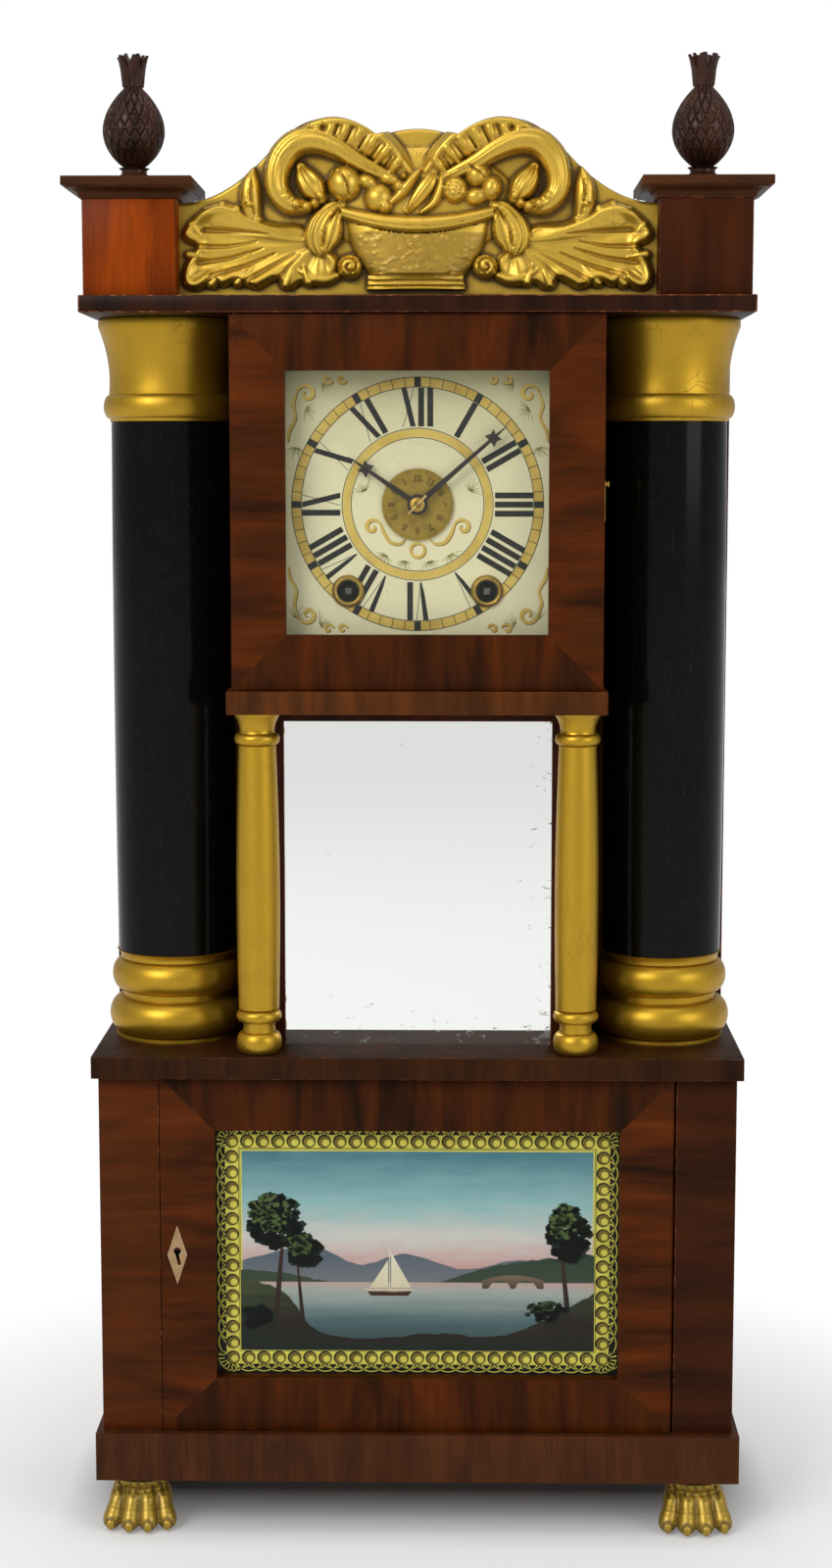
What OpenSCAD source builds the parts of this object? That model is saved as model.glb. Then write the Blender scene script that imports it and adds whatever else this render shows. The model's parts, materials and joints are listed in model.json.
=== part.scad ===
// Hollow column shelf clock. A veneered case on carved feet carries a dial box, two hollow
// columns that hide the driving weights, and a carved crest between two plinths.
// X runs across the case, Y from front to back and Z up. The origin is on the floor, at mid
// width and mid depth. A depth, written d, is counted backwards from the ledge's front face.

/* [Case] */
// Width across the two sides of the base
case_w = 408; // [396:1:420]
// Depth over all, from the front of the plinth caps to the back
case_depth = 150; // [148:1:165]
// Thickness of the side boards and the front stiles
board_t = 12; // [9:0.5:14]
// Thickness of the backboard
back_t = 8; // [6:0.5:10]
// Height of the base case between its moulding and the ledge
base_h = 235.5; // [215:0.5:255]
// Thickness of the base floor
base_floor_t = 10; // [7:0.5:13]
// Width of the stiles beside the lower door
stile_w = 38.4; // [32:0.2:44]
// How far the stiles and the lower door stand behind the ledge's front
stile_setback = 8; // [6:0.5:10]
// Thickness of the ledge
ledge_t = 14; // [10:0.5:18]
// How far the ledge stands out over the sides
ledge_over = 3.5; // [2:0.5:4]
// Height of the base moulding
mould_h = 31.5; // [26:0.5:36]
// How far the base moulding stands out from the sides
mould_over = 4.3; // [3:0.1:4.5]
// Thickness of the cornice shelf
shelf_t = 10.7; // [9:0.1:14]
// How far the cornice shelf stands out over the sides
shelf_over = 4.2; // [2:0.1:4.5]

/* [Feet] */
// Height of the feet
foot_h = 37; // [33:0.5:42]
// Distance of a foot's middle from the case side
foot_inset = 22.3; // [22:0.1:26]
// Side of the square rear feet
rear_foot_w = 36; // [30:1:42]

/* [Columns] */
// Distance of the large columns' axes from the case's sides
col_inset = 44; // [43.5:0.1:44.5]
// Depth of the large columns' axes
col_d = 80; // [78:0.5:82]
// Largest radius of the black shaft
col_r = 39.5; // [38:0.1:40]
// Radius of the bore in which the weight hangs
col_bore_r = 33; // [31:0.5:34.5]
// How much thinner the shaft is at its ends
col_entasis = 0.8; // [0.4:0.1:1.2]
// Height of the gilt base
col_base_h = 57; // [52:0.5:62]
// Radius of the gilt base
col_base_r = 45; // [43:0.1:46]
// Height of the gilt capital
capital_h = 65; // [60:0.5:70]
// Radius of the capital's lip
capital_r = 46.5; // [44:0.1:46.5]
// Distance of the small columns' axes from the trunk's faces
small_col_inset = 10.7; // [9.5:0.1:12]
// Depth of the small columns' axes
small_col_d = 17.5; // [16.5:0.1:18.5]
// Height of the small columns
small_col_h = 218.8; // [200:0.2:235]
// Largest radius of the small columns
small_col_r = 14.4; // [13:0.1:14.8]

/* [Dial box] */
// How far the board under the dial box stands out beside the trunk
trim_over = 7.1; // [5:0.1:7.5]
// Thickness of that board
trim_h = 14.5; // [12:0.5:18]
// How far that board stands in front of the ledge
trim_proud = 2; // [1:0.5:3]
// Width across the trunk and the dial box
trunk_w = 224; // [223:0.2:224.6]
// Thickness of the trunk side boards
trunk_t = 6; // [5:0.1:6.2]
// Height inside the dial box
box_h = 233.2; // [231:0.2:240]
// Depth of the dial box's front edge
box_d = 21.5; // [21:0.1:23]

/* [Doors] */
// How far the dial door stands out beside the trunk
dial_door_over = 4.2; // [3.6:0.1:5]
// Width of its frame
dial_rail = 34.3; // [30:0.1:36]
// Depth of its front face
dial_door_d = 3; // [2:0.2:3.2]
// Thickness of both doors
door_t = 18; // [15:0.2:18.2]
// Width of the lower door's frame
low_rail = 35; // [30:0.5:40]
// Gap round the doors
door_gap = 0.6; // [0.4:0.1:1]
// Thickness of the glass
glass_t = 2.2; // [1.6:0.1:3]
// How far the glass reaches behind its frame
rebate = 6; // [4:0.5:9]
// Distance of a hinge pin from the door's edge and face
hinge_inset = 3.4; // [3:0.1:4]
// Radius of the hinge pins
hinge_pin_r = 1.2; // [0.9:0.1:1.5]
// Play of every pin and arbor in its hole
pin_play = 0.06; // [0.03:0.01:0.09]
// Height of the lock above the lower door's foot
lock_up = 118; // [100:1:140]

/* [Mirror] */
// Half the width of the mirror that shows
mirror_half = 86; // [82:0.5:90]
// Depth of the mirror's face
mirror_d = 42; // [41:0.2:44]

/* [Crest] */
// Width of a plinth
plinth_w = 57.5; // [52:0.5:60]
// Depth of a plinth from front to back
plinth_depth = 64; // [58:1:72]
// Height of a plinth
plinth_h = 58.8; // [52:0.2:64]
// Wall of a plinth
plinth_wall = 7; // [5:0.5:9]
// How far a plinth stands behind the ledge's front
plinth_setback = 8; // [6:0.5:10]
// Height of a plinth's cap
cap_h = 12.5; // [10:0.5:15]
// How far a cap stands out from its plinth
cap_over = 11.4; // [9:0.1:12]
// Height of a finial
finial_h = 80.5; // [72:0.5:88]
// Largest radius of a finial
finial_r = 19.5; // [17:0.1:21]
// Thickness of the crest board
splat_t = 12; // [9:0.5:14]
// Depth of the crest board's face
splat_d = 34; // [32:0.5:36]
// Height of the crest's two humps
splat_hump_h = 109.5; // [100:0.5:116]

/* [Dial] */
// Height of the dial's centre above the dial box floor
dial_up = 115.7; // [114:0.1:117]
// Thickness of the dial
dial_t = 6; // [5:0.2:7]
// Depth of the dial's face
dial_d = 27; // [26.5:0.1:28]
// Distance of the winding holes beside the centre
wind_x = 43.8; // [43.5:0.1:44.2]
// Distance of the winding holes below the centre
wind_down = 54.4; // [54:0.1:54.8]
// Radius of the winding holes
wind_r = 6.5; // [5.5:0.1:7]
// Radius of the alarm disc
alarm_r = 22.5; // [20:0.5:24]
// Length of the minute hand
minute_len = 77; // [70:0.5:78]
// Length of the hour hand
hour_len = 53.5; // [48:0.5:56]

/* [Movement] */
// Depth of the front plate's face
plate_d = 62; // [61:0.2:63]
// Thickness of the plates
plate_t = 6; // [5:0.2:7]
// Distance between the plates
plate_gap = 52; // [51:0.2:54]
// Teeth of the time great wheel
great_teeth = 62; // [62]
// Leaves of the centre pinion
centre_leaves = 14; // [14]
// Thickness of a wheel
wheel_t = 4.5; // [3.5:0.1:5]
// Radius of the arbors
arbor_r = 2; // [1.6:0.1:2.4]
// Radius of a winding drum
drum_r = 8; // [7:0.1:9]
// Radius of a line pulley
pulley_r = 14; // [13:0.1:14.5]
// Thickness of a weight line
line_r = 0.8; // [0.6:0.05:1]
// Radius of a weight
weight_r = 26; // [22:0.5:28]
// Height of a weight
weight_h = 92; // [80:1:100]
// Length of the pendulum from its hinge to the middle of the bob
pendulum_len = 250; // [230:1:265]

/* [Hidden] */

// Round parts are drawn with this many sides and rebuilt as true curves
$fn = 48;
// A little more than nothing, for cuts that must pass a face
over = 1;
// Clearance between curved faces of pieces that move past each other
clear = 0.3;

mahogany = [0.36, 0.17, 0.08];
dark_mahogany = [0.25, 0.11, 0.06];
orange_mahogany = [0.52, 0.25, 0.08];
gilt = [0.72, 0.58, 0.2];
ebony = [0.03, 0.03, 0.03];
brass = [0.75, 0.6, 0.25];
iron = [0.2, 0.2, 0.21];
pine = [0.66, 0.5, 0.32];
walnut = [0.2, 0.12, 0.09];
cream = [0.85, 0.85, 0.7];
glass = [0.75, 0.85, 0.85, 0.4];
bone = [0.93, 0.88, 0.76];

// Heights
base_z = foot_h + mould_h;
ledge_z = base_z + base_h;
deck_z = ledge_z + ledge_t;
trim_z = deck_z + small_col_h;
box_z = trim_z + trim_h;
shelf_z = box_z + box_h;
top_z = shelf_z + shelf_t;
cap_z = top_z + plinth_h;
finial_z = cap_z + cap_h;

// Depths
cap_proud = cap_over - plinth_setback;
back_d = case_depth - cap_proud;
inner_back_d = back_d - back_t;
mould_setback = 2;
mould_back_d = stile_setback + board_t;
mirror_lip = 2;
mirror_backing_t = 1.8;
mirror_back_d = mirror_d + glass_t + mirror_backing_t;
mirror_rail = 8;
mirror_top = trim_z - mirror_rail;
glass_pocket = 8;

// Widths
half_w = case_w / 2;
trunk_half = trunk_w / 2;
trunk_inner = trunk_half - trunk_t;
trim_half = trunk_half + trim_over;
col_x = half_w - col_inset;
small_col_x = trunk_half - small_col_inset;
foot_x = half_w - foot_inset;
mould_half = half_w + mould_over;
shelf_half = half_w + shelf_over;
plinth_edge = 2.2;
plinth_x1 = shelf_half - plinth_edge;
plinth_x0 = plinth_x1 - plinth_w;
upper_side_gap = 35;
upper_side_front_d = col_d + upper_side_gap;

// The lower door
low_door_half = half_w - stile_w - door_gap;
low_door_z0 = base_z + door_gap;
low_door_z1 = ledge_z - door_gap;
low_door_back_d = stile_setback + door_t;
low_pin_x = low_door_half - hinge_inset;
low_pin_d = stile_setback + hinge_inset;
hinge_pin_seat = 8;
hinge_pin_gap = 0.5;

// The dial door
dial_door_half = trunk_half + dial_door_over;
dial_door_z0 = box_z + door_gap;
dial_door_z1 = shelf_z - door_gap;
dial_pin_x = -(dial_door_half - hinge_inset);
dial_pin_d = dial_door_d + hinge_inset;

// The lock
lock_x = -(low_door_half - 10.5);
lock_z = base_z + lock_up;
lock_w = 26;
lock_x0 = lock_x - 8;
lock_h = 36;
lock_t = 9;
bolt_h = 8;
bolt_t = 3.6;
bolt_len = 22;
bolt_x0 = -(low_door_half - 0.3);
bolt_z0 = lock_z + 4;
bolt_d0 = mould_back_d + 0.4;
bolt_play = 0.3;
keyhole_r = 3;
key_room_r = 5;
key_pin_r = 1;
key_z = lock_z - 2;
lock_wall = 1.5;

// The catch on the dial door's right edge
catch_up = 128.5;
catch_z = box_z + catch_up;
catch_pivot_inset = 9.5;
catch_pivot_d = box_d + catch_pivot_inset;
catch_pin_inset = 7;
catch_pin_d = dial_door_d + catch_pin_inset;
catch_r = 1.2;
catch_gap = 0.6;
catch_x = dial_door_half + catch_gap;
catch_t = 1.3;
catch_eye_root = 5;
catch_head_t = 0.7;
catch_play = 0.25;

// The dial and its centre
dial_z = box_z + dial_up;
wind_z = dial_z - wind_down;
minute_gap = 7.4;
minute_d = dial_d - minute_gap;
hour_gap = 4;
hour_d = dial_d - hour_gap;
alarm_gap = 1;
alarm_d = dial_d - alarm_gap;
hand_t = 1.1;
pipe_wall = 1.3;
minute_pipe_r = arbor_r + pin_play + pipe_wall;
hour_pipe_r = minute_pipe_r + pin_play + pipe_wall;
alarm_pipe_r = hour_pipe_r + pin_play + pipe_wall;
alarm_t = 1;
alarm_pipe_len = 4;
minute_angle = 48.9;
hour_angle = 304.5;

// The movement
plate_back_d = plate_d + plate_t;
rear_plate_d = plate_back_d + plate_gap;
movement_back_d = rear_plate_d + plate_t;
plate_foot_gap = 5;
plate_z0 = box_z + plate_foot_gap;
plate_top_gap = 4;
plate_z1 = shelf_z - plate_top_gap;
pillar_r = 5;
pillar_side_gap = 8;
pillar_x = trunk_inner - pillar_side_gap;
pillar_inset = 7.5;
drum_arbor_r = arbor_r + 1;
drum_gap = 2;
drum_front_d = plate_back_d + drum_gap;
drum_len = 24;
drum_flange_t = 3;
drum_flange_r = drum_r + 6;
square_sunk = 3;
square_end_d = dial_d + square_sunk;
square_w = 4;
square_len = 14;

// The going train: places seen from the front, as x and z
time_arbor = [-wind_x, wind_z];
strike_arbor = [wind_x, wind_z];
centre_arbor = [0, dial_z];
escape_x = 22;
escape_up = 53;
verge_up = 34;
stud_up = 9;
escape_arbor = [escape_x, dial_z + escape_up];
verge_arbor = escape_arbor + [0, verge_up];
pendulum_stud = verge_arbor + [0, stud_up];
great_module = 2 * norm(time_arbor - centre_arbor) / (great_teeth + centre_leaves);
centre_teeth = 72;
third_leaves = 8;
centre_module = 1;
third_teeth = 80;
escape_leaves = 8;
third_module = 0.75;
escape_teeth = 40;
escape_r = 22;
escape_t = 2;
escape_tooth_h = 3;
strike_teeth = 60;
strike_leaves = 10;
strike_module = 1.5;
pin_wheel_r = 23;
pin_wheel_t = 3.5;
third_arbor = meeting(centre_arbor, escape_arbor,
    centre_module * (centre_teeth + third_leaves) / 2,
    third_module * (third_teeth + escape_leaves) / 2);
strike_second = strike_arbor + [0, strike_module * (strike_teeth + strike_leaves) / 2];
time_wheel_d = rear_plate_d - 15;
strike_wheel_d = rear_plate_d - 8;
centre_wheel_d = rear_plate_d - 26;
third_wheel_d = rear_plate_d - 36;
escape_wheel_d = plate_back_d + 5;
pin_wheel_d = plate_back_d + 18;
third_t = 3.4;
// How far a pinion is longer than its wheel is thick, on each side
leaf_over = 1;
// How far the centre arbor stands out in front of the minute hand
centre_end = 2.4;

// The motion work behind the dial
cannon_leaves = 12;
motion_teeth = 36;
motion_module = 1;
motion_leaves = 10;
hour_teeth = 40;
motion_reach = motion_module * (cannon_leaves + motion_teeth) / 2;
hour_module = 2 * motion_reach / (motion_leaves + hour_teeth);
motion_angle = 225;
motion_stud = centre_arbor + polar(motion_reach, motion_angle);
motion_stud_r = 1.5;
cannon_d = plate_d - 12;
hour_wheel_d = cannon_d - 6;

// The pendulum, hung in front of the front plate
pendulum_d = plate_d - 5;
pendulum_rod_r = 1;
bob_r = 22;
bob_t = 8;
stud_r = 1.5;
stud_end = 1;
pendulum_ring_t = 2;
crutch_reach = 36;

// The lines, each in the plane of its column's axis
pulley_groove = 3;
line_clear = clear + line_r;
pulley_line_r = pulley_r - pulley_groove + line_clear;
drum_line_r = drum_r + line_clear;
pulley_x = col_x - pulley_line_r;
pulley_z = shelf_z - pulley_r - 4;
pulley_axle_r = 1.6;
pulley_axle_half = col_bore_r + 1;
pulley_half_t = 3;
pulley_groove_half = 1;
weight_z = deck_z + clear;
weight_stem_h = 14;
weight_stem_r = 2.4;
weight_edge = 1.5;
weight_shoulder = [8, 6];
fall_z = weight_z + weight_h + weight_stem_h;
line_run = [pulley_x, pulley_z] - [wind_x, wind_z];
line_span = norm(line_run);
line_lean = atan2(line_run[1], line_run[0]) + asin((pulley_line_r - drum_line_r) / line_span);
line_slot = 5;
line_room = 6;

// The bell and the hammer behind the movement
bell_x = -38;
bell_up = 187;
bell_z = deck_z + bell_up;
bell_r = 30;
bell_depth = 22;
bell_wall = 3;
hammer_x = -75;
hammer_up = 19;
hammer_z = plate_z0 + hammer_up;
hammer_gap = 3;
hammer_d = movement_back_d + hammer_gap;
hammer_hub_t = 3;
hammer_arm_w = 2.4;
hammer_head_r = 4;
hammer_head_len = 8;

// The crest
splat_half = plinth_x0;
// How far the crest board's ends stay under the plinths' caps
splat_end_gap = 0.8;
splat_end_h = plinth_h - splat_end_gap;
splat_hump_x = 57;
splat_join_x = 90;
splat_notch_x = 25;
splat_notch_drop = 11.5;
splat_bump = 5;
// How fast a hump falls away outwards, in mm for each square mm
splat_fall = 0.0165;

function y_at(d) = d + cap_proud - case_depth / 2;
function polar(r, a) = [r * cos(a), r * sin(a)];
// Where two circles about a and b meet, on the left of the way from a to b
function meeting(a, b, ra, rb) =
    let (gap = norm(b - a), u = (b - a) / gap, along = (ra * ra - rb * rb + gap * gap) / (2 * gap))
    a + along * u + sqrt(ra * ra - along * along) * [-u[1], u[0]];
function bearing(a, b) = atan2(b[1] - a[1], b[0] - a[0]);

// A board between two x, two depths and two heights
module block(x0, x1, d0, d1, z0, z1) {
    translate([x0, y_at(d0), z0])
        cube([x1 - x0, d1 - d0, z1 - z0]);
}

// Children start on a plane at depth d and grow towards the front, with their own Y upwards
module facing(at, d) {
    translate([at[0], y_at(d), at[1]])
        rotate([90, 0, 0])
            children();
}

// A round bar from one depth to another
module bar(at, d0, d1, r) {
    facing(at, d1)
        cylinder(r = r, h = d1 - d0);
}

// Children on both sides of the middle
module both() {
    children();
    mirror([1, 0, 0])
        children();
}

// Base of the case

module base_sides() {
    color(mahogany)
        both()
            block(half_w - board_t, half_w, mould_back_d, inner_back_d, foot_h, ledge_z);
}

module base_floor() {
    color(pine)
        block(-half_w + board_t, half_w - board_t, mould_back_d, inner_back_d,
            base_z - base_floor_t, base_z);
}

module base_stiles() {
    color(mahogany)
        both()
            block(half_w - stile_w, half_w, stile_setback, mould_back_d, base_z, ledge_z);
}

module base_moulding() {
    color(dark_mahogany) {
        difference() {
            block(-mould_half, mould_half, mould_setback, mould_back_d, foot_h, base_z);
            bar_up(low_pin_x, low_pin_d, base_z - hinge_pin_seat, base_z + over, hinge_pin_r);
        }
        both()
            block(half_w, mould_half, mould_back_d, inner_back_d, foot_h, base_z);
    }
}

// An upright round bar
module bar_up(x, d, z0, z1, r) {
    translate([x, y_at(d), z0])
        cylinder(r = r, h = z1 - z0);
}

module ledge() {
    color(dark_mahogany)
        difference() {
            block(-half_w - ledge_over, half_w + ledge_over, 0, inner_back_d, ledge_z, deck_z);
            bar_up(low_pin_x, low_pin_d, ledge_z - over, ledge_z + hinge_pin_seat, hinge_pin_r);
        }
}

module backboard() {
    color(pine)
        block(-half_w, half_w, inner_back_d, back_d, foot_h, shelf_z);
}

// Feet

// A carved paw: an ankle with a hairy collar, four toes and their claws, cut flat on the floor
module paw_foot(x) {
    toes = 4;
    toe_r = 7.4;
    toe_pitch = 12;
    ankle = [41, 38, 6];
    ankle_d = 10;
    heel_r = 13;
    heel_at = [9, 28, 11];
    sides = 16;
    color(gilt)
        translate([x, y_at(0), 0])
            intersection() {
                translate([-ankle[0], 0, 0])
                    cube([2 * ankle[0], ankle_d + ankle[1], foot_h]);
                union() {
                    hull() {
                        translate([-ankle[0] / 2, ankle_d, foot_h - ankle[2]])
                            cube(ankle);
                        for (side = [-1, 1])
                            translate([side * heel_at[0], heel_at[1], heel_at[2]])
                                sphere(r = heel_r, $fn = sides);
                    }
                    for (toe = [0:toes - 1])
                        let (out = toe - (toes - 1) / 2)
                            toe_and_claw(out * toe_pitch, toe_r + 1.4 * abs(out), toe_r, sides);
                }
            }
}

// A toe that rises towards the ankle, and its claw, which points down in front of it
module toe_and_claw(x, d, r, sides) {
    knuckle = [0.8 * x, d + 16, r + 5];
    claw_r = 3;
    claw_root = [x, d - 4, 4.2];
    claw_tip_r = 1;
    claw_tip = [x, d - 6.4, claw_tip_r];
    hull() {
        translate([x, d, r])
            sphere(r = r, $fn = sides);
        translate(knuckle)
            sphere(r = r, $fn = sides);
    }
    hull() {
        translate(claw_root)
            sphere(r = claw_r, $fn = 10);
        translate(claw_tip)
            sphere(r = claw_tip_r, $fn = 8);
    }
}

module rear_feet() {
    color(dark_mahogany)
        both()
            block(foot_x - rear_foot_w / 2, foot_x + rear_foot_w / 2,
                inner_back_d - rear_foot_w, inner_back_d, 0, foot_h);
}

// Upper case

module upper_sides() {
    color(mahogany)
        both()
            block(half_w - board_t, half_w, upper_side_front_d, inner_back_d, deck_z, shelf_z);
}

module shelf_board() {
    color(dark_mahogany)
        difference() {
            block(-shelf_half, shelf_half, 0, back_d, shelf_z, top_z);
            bar_up(dial_pin_x, dial_pin_d, shelf_z - over, shelf_z + hinge_pin_seat, hinge_pin_r);
        }
}

// A full-height board on each side, set back below the dial box for the mirror
module trunk_sides() {
    color(pine)
        difference() {
            both()
                difference() {
                    block(trunk_inner, trunk_half, box_d, inner_back_d, deck_z, shelf_z);
                    block(trunk_inner - over, trunk_half + over, box_d - over, mirror_back_d,
                        deck_z - over, box_z);
                    block(trunk_inner - over, trunk_half + over, col_d - line_slot / 2,
                        col_d + line_slot / 2, line_z(trunk_inner) - line_room,
                        line_z(trunk_half) + line_room);
                }
            catch_bore(catch_r + pin_play);
        }
}

// Height of a line where it passes a distance x from the middle
function line_z(x) = wind_z + drum_line_r * sin(line_lean + 90)
    + (x - wind_x - drum_line_r * cos(line_lean + 90)) * tan(line_lean);

module catch_bore(r) {
    translate([trunk_inner - over, y_at(catch_pivot_d), catch_z])
        rotate([0, 90, 0])
            cylinder(r = r, h = trunk_t + 2 * over);
}

module dial_box_floor() {
    color(dark_mahogany)
        difference() {
            block(-trim_half, trim_half, -trim_proud, mirror_back_d, trim_z, box_z);
            bar_up(dial_pin_x, dial_pin_d, box_z - hinge_pin_seat, box_z + over, hinge_pin_r);
        }
}

module mirror_frame() {
    color(dark_mahogany)
        difference() {
            block(-trunk_half, trunk_half, mirror_d - mirror_lip, mirror_back_d, deck_z, trim_z);
            block(-mirror_half, mirror_half, mirror_d - mirror_lip - over, mirror_back_d + over,
                deck_z - over, mirror_top);
            block(-mirror_half - rebate, mirror_half + rebate, mirror_d, mirror_back_d + over,
                deck_z - over, mirror_top + rebate);
        }
    color(pine)
        block(-mirror_half - rebate, mirror_half + rebate, mirror_d + glass_t, mirror_back_d,
            deck_z, mirror_top + rebate);
}

module mirror_glass() {
    color([0.85, 0.88, 0.88])
        block(-mirror_half - rebate, mirror_half + rebate, mirror_d, mirror_d + glass_t,
            deck_z, mirror_top + rebate);
}

// Columns

// A turned piece about an upright axis, bored through
module turned(x, d, z, bore, outline) {
    translate([x, y_at(d), z])
        rotate_extrude()
            polygon(concat([[bore, 0]], outline, [[bore, outline[len(outline) - 1][1]]]));
}

column_h = shelf_z - deck_z - col_base_h - capital_h;
shaft_steps = 12;
shaft_outline = [for (i = [0:shaft_steps])
    let (t = i / shaft_steps) [col_r - col_entasis * pow(2 * t - 1, 2), t * column_h]];

module column(x) {
    color(ebony)
        turned(x, col_d, deck_z + col_base_h, col_bore_r, shaft_outline);
}

// Points of a round bead on a turned outline, from foot to top
function bead(r, z0, z1, swell) = [for (i = [0:8])
    let (a = i * 22.5) [r + swell * sin(a), z0 + (z1 - z0) * (1 - cos(a)) / 2]];

base_neck_r = col_r - col_entasis + 1;
base_neck_hollow = 2.5;
base_neck_h = 4.5;
base_step_r = col_base_r - 4;
base_step_h = 2;
base_bead_r = col_base_r - 9;
low_bead_swell = 9;
low_bead_top = 26;
high_bead_swell = 7;
high_bead_z = 30;
high_bead_top = col_base_h - base_neck_h - 1.5;
base_outline = concat(
    [[base_step_r, 0], [base_step_r, base_step_h]],
    bead(base_bead_r, base_step_h, low_bead_top, low_bead_swell),
    bead(base_bead_r, high_bead_z, high_bead_top, high_bead_swell),
    [[base_neck_r - base_neck_hollow, col_base_h - base_neck_h], [base_neck_r, col_base_h]]
);

module column_bases() {
    color(gilt)
        both()
            turned(col_x, col_d, deck_z, col_bore_r, base_outline);
}

capital_neck_r = 38.8;
capital_ring_r = capital_r - 6.5;
capital_ring_swell = 3.6;
capital_ring_z = 2;
capital_ring_top = 17;
capital_bell_z = 18;
capital_lip_h = 5;
capital_lip_round = 1.5;
bell_steps = 8;
bell_flare = 2.2;
bell_foot_swell = 1.2;
capital_outline = concat(
    [[col_r, 0], [col_r, capital_ring_z]],
    bead(capital_ring_r, capital_ring_z, capital_ring_top, capital_ring_swell),
    [for (i = [0:bell_steps])
        let (t = i / bell_steps)
        [capital_neck_r + (capital_r - capital_neck_r) * pow(t, bell_flare)
            + bell_foot_swell * pow(1 - t, 3),
            capital_bell_z + (capital_h - capital_bell_z - capital_lip_h) * t]],
    [[capital_r, capital_h - capital_lip_round], [capital_r - capital_lip_round, capital_h]]
);

module column_capitals() {
    color(gilt)
        both()
            difference() {
                turned(col_x, col_d, shelf_z - capital_h, col_bore_r, capital_outline);
                bar([pulley_x, pulley_z], col_d - pulley_axle_half - clear, col_d + capital_r,
                    pulley_axle_r + pin_play);
                block(col_x - capital_r - over, pulley_x, col_d - line_slot / 2,
                    col_d + line_slot / 2, line_z(trunk_half) - line_room, pulley_z + pulley_r);
            }
}

// Outline of a small column: foot bulb, neck, ring, swelling shaft, ring, neck and cap
small_foot_r = small_col_r - 4;
small_ring_r = small_col_r - 3;
small_bulb_h = 14;
small_neck = [16, 19];
small_ring = [20, 28];
small_foot_h = 29;
small_top_h = 21;
small_top_ring = [small_col_h - small_top_h + 0.5, small_col_h - 13];
small_cap_z = small_col_h - 12;
small_lip_h = 2;
small_cap_flare = 3.2;
small_taper = 1;
small_swell = 1.4;
small_shaft_r = small_col_r - 1.5;
small_shaft_h = small_col_h - small_foot_h - small_top_h;
small_outline = concat(
    bead(small_foot_r, 0, small_bulb_h, small_col_r - small_foot_r),
    [[small_foot_r, small_neck[0]], [small_foot_r, small_neck[1]]],
    bead(small_ring_r, small_ring[0], small_ring[1], small_col_r - small_ring_r),
    [for (i = [0:8])
        let (t = i / 8)
        [small_shaft_r - small_taper * t + small_swell * sin(180 * t),
            small_foot_h + small_shaft_h * t]],
    bead(small_ring_r, small_top_ring[0], small_top_ring[1], small_col_r - small_ring_r),
    [for (i = [0:4])
        let (t = i / 4)
        [small_col_r - small_cap_flare * (1 - pow(t, 2)) - 0.2,
            small_cap_z + (small_col_h - small_lip_h - small_cap_z) * t]],
    [[small_col_r, small_col_h]]
);

module small_columns() {
    color(gilt)
        both()
            translate([small_col_x, y_at(small_col_d), deck_z])
                rotate_extrude()
                    polygon(concat([[0, 0]], small_outline, [[0, small_col_h]]));
}

// Crest

module plinths() {
    color(orange_mahogany)
        both()
            difference() {
                block(plinth_x0, plinth_x1, plinth_setback, plinth_setback + plinth_depth,
                    top_z, cap_z);
                block(plinth_x0 + plinth_wall, plinth_x1 - plinth_wall,
                    plinth_setback + plinth_wall, plinth_setback + plinth_depth - plinth_wall,
                    top_z - over, cap_z + over);
            }
}

// Each cap is a flat slab over a stepped moulding
module plinth_caps() {
    steps = 5;
    mould = 0.5 * cap_h;
    foot_over = 1.5;
    color(dark_mahogany)
        both() {
            for (i = [0:steps - 1]) {
                out = foot_over + (cap_over - 2 * foot_over) * (1 - sqrt(1 - pow((i + 0.5) / steps, 2)));
                cap_course(out, cap_z + mould * i / steps, cap_z + mould * (i + 1) / steps);
            }
            cap_course(cap_over, cap_z + mould, finial_z);
        }
}

module cap_course(out, z0, z1) {
    block(plinth_x0 - out, plinth_x1 + out, plinth_setback - out,
        plinth_setback + plinth_depth + out, z0, z1);
}

finial_foot = [[15.5, 0], [15.5, 2.4], [12, 4], [8, 5.2], [8, 7.5]];
finial_body_z = 7;
finial_body_top = finial_h - 15;
finial_steps = 14;
finial_fullness = 0.86;
finial_waist_r = 4.5;
finial_crown_r = 8.2;
finial_crown_h = 3;
crown_leaves = 6;
crown_notch_r = 2.6;
finial_outline = concat(
    finial_foot,
    [for (i = [1:finial_steps - 1])
        let (t = i / finial_steps)
        [max(finial_waist_r, finial_r * sin(180 * pow(t, finial_fullness))),
            finial_body_z + (finial_body_top - finial_body_z) * t]],
    [[finial_waist_r, finial_body_top - 0.5], [finial_crown_r, finial_h - finial_crown_h]]
);

module finials() {
    color(walnut)
        both()
            translate([(plinth_x0 + plinth_x1) / 2, y_at(plinth_setback + plinth_depth / 2), finial_z])
                difference() {
                    rotate_extrude()
                        polygon(concat([[0, 0]], finial_outline,
                            [[finial_crown_r, finial_h], [0, finial_h]]));
                    for (leaf = [1:crown_leaves])
                        rotate([0, 0, leaf * 360 / crown_leaves])
                            translate([finial_crown_r, 0, finial_h])
                                rotate([0, 90, 0])
                                    cylinder(r = crown_notch_r, h = finial_crown_r, center = true);
                }
}

// Height of the crest's edge at a distance x from its middle
function crest_edge(x) =
    x < splat_notch_x ? splat_hump_h - splat_notch_drop + splat_bump * (1 - pow(x / splat_notch_x, 2)) :
    x < splat_hump_x ? splat_hump_h
        - splat_notch_drop * pow((splat_hump_x - x) / (splat_hump_x - splat_notch_x), 2) :
    x < splat_join_x ? hump_side(x) :
    splat_end_h + (hump_side(splat_join_x) - splat_end_h)
        * pow((splat_half - x) / (splat_half - splat_join_x), 2);
function hump_side(x) = splat_hump_h - splat_fall * pow(x - splat_hump_x, 2);

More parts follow.
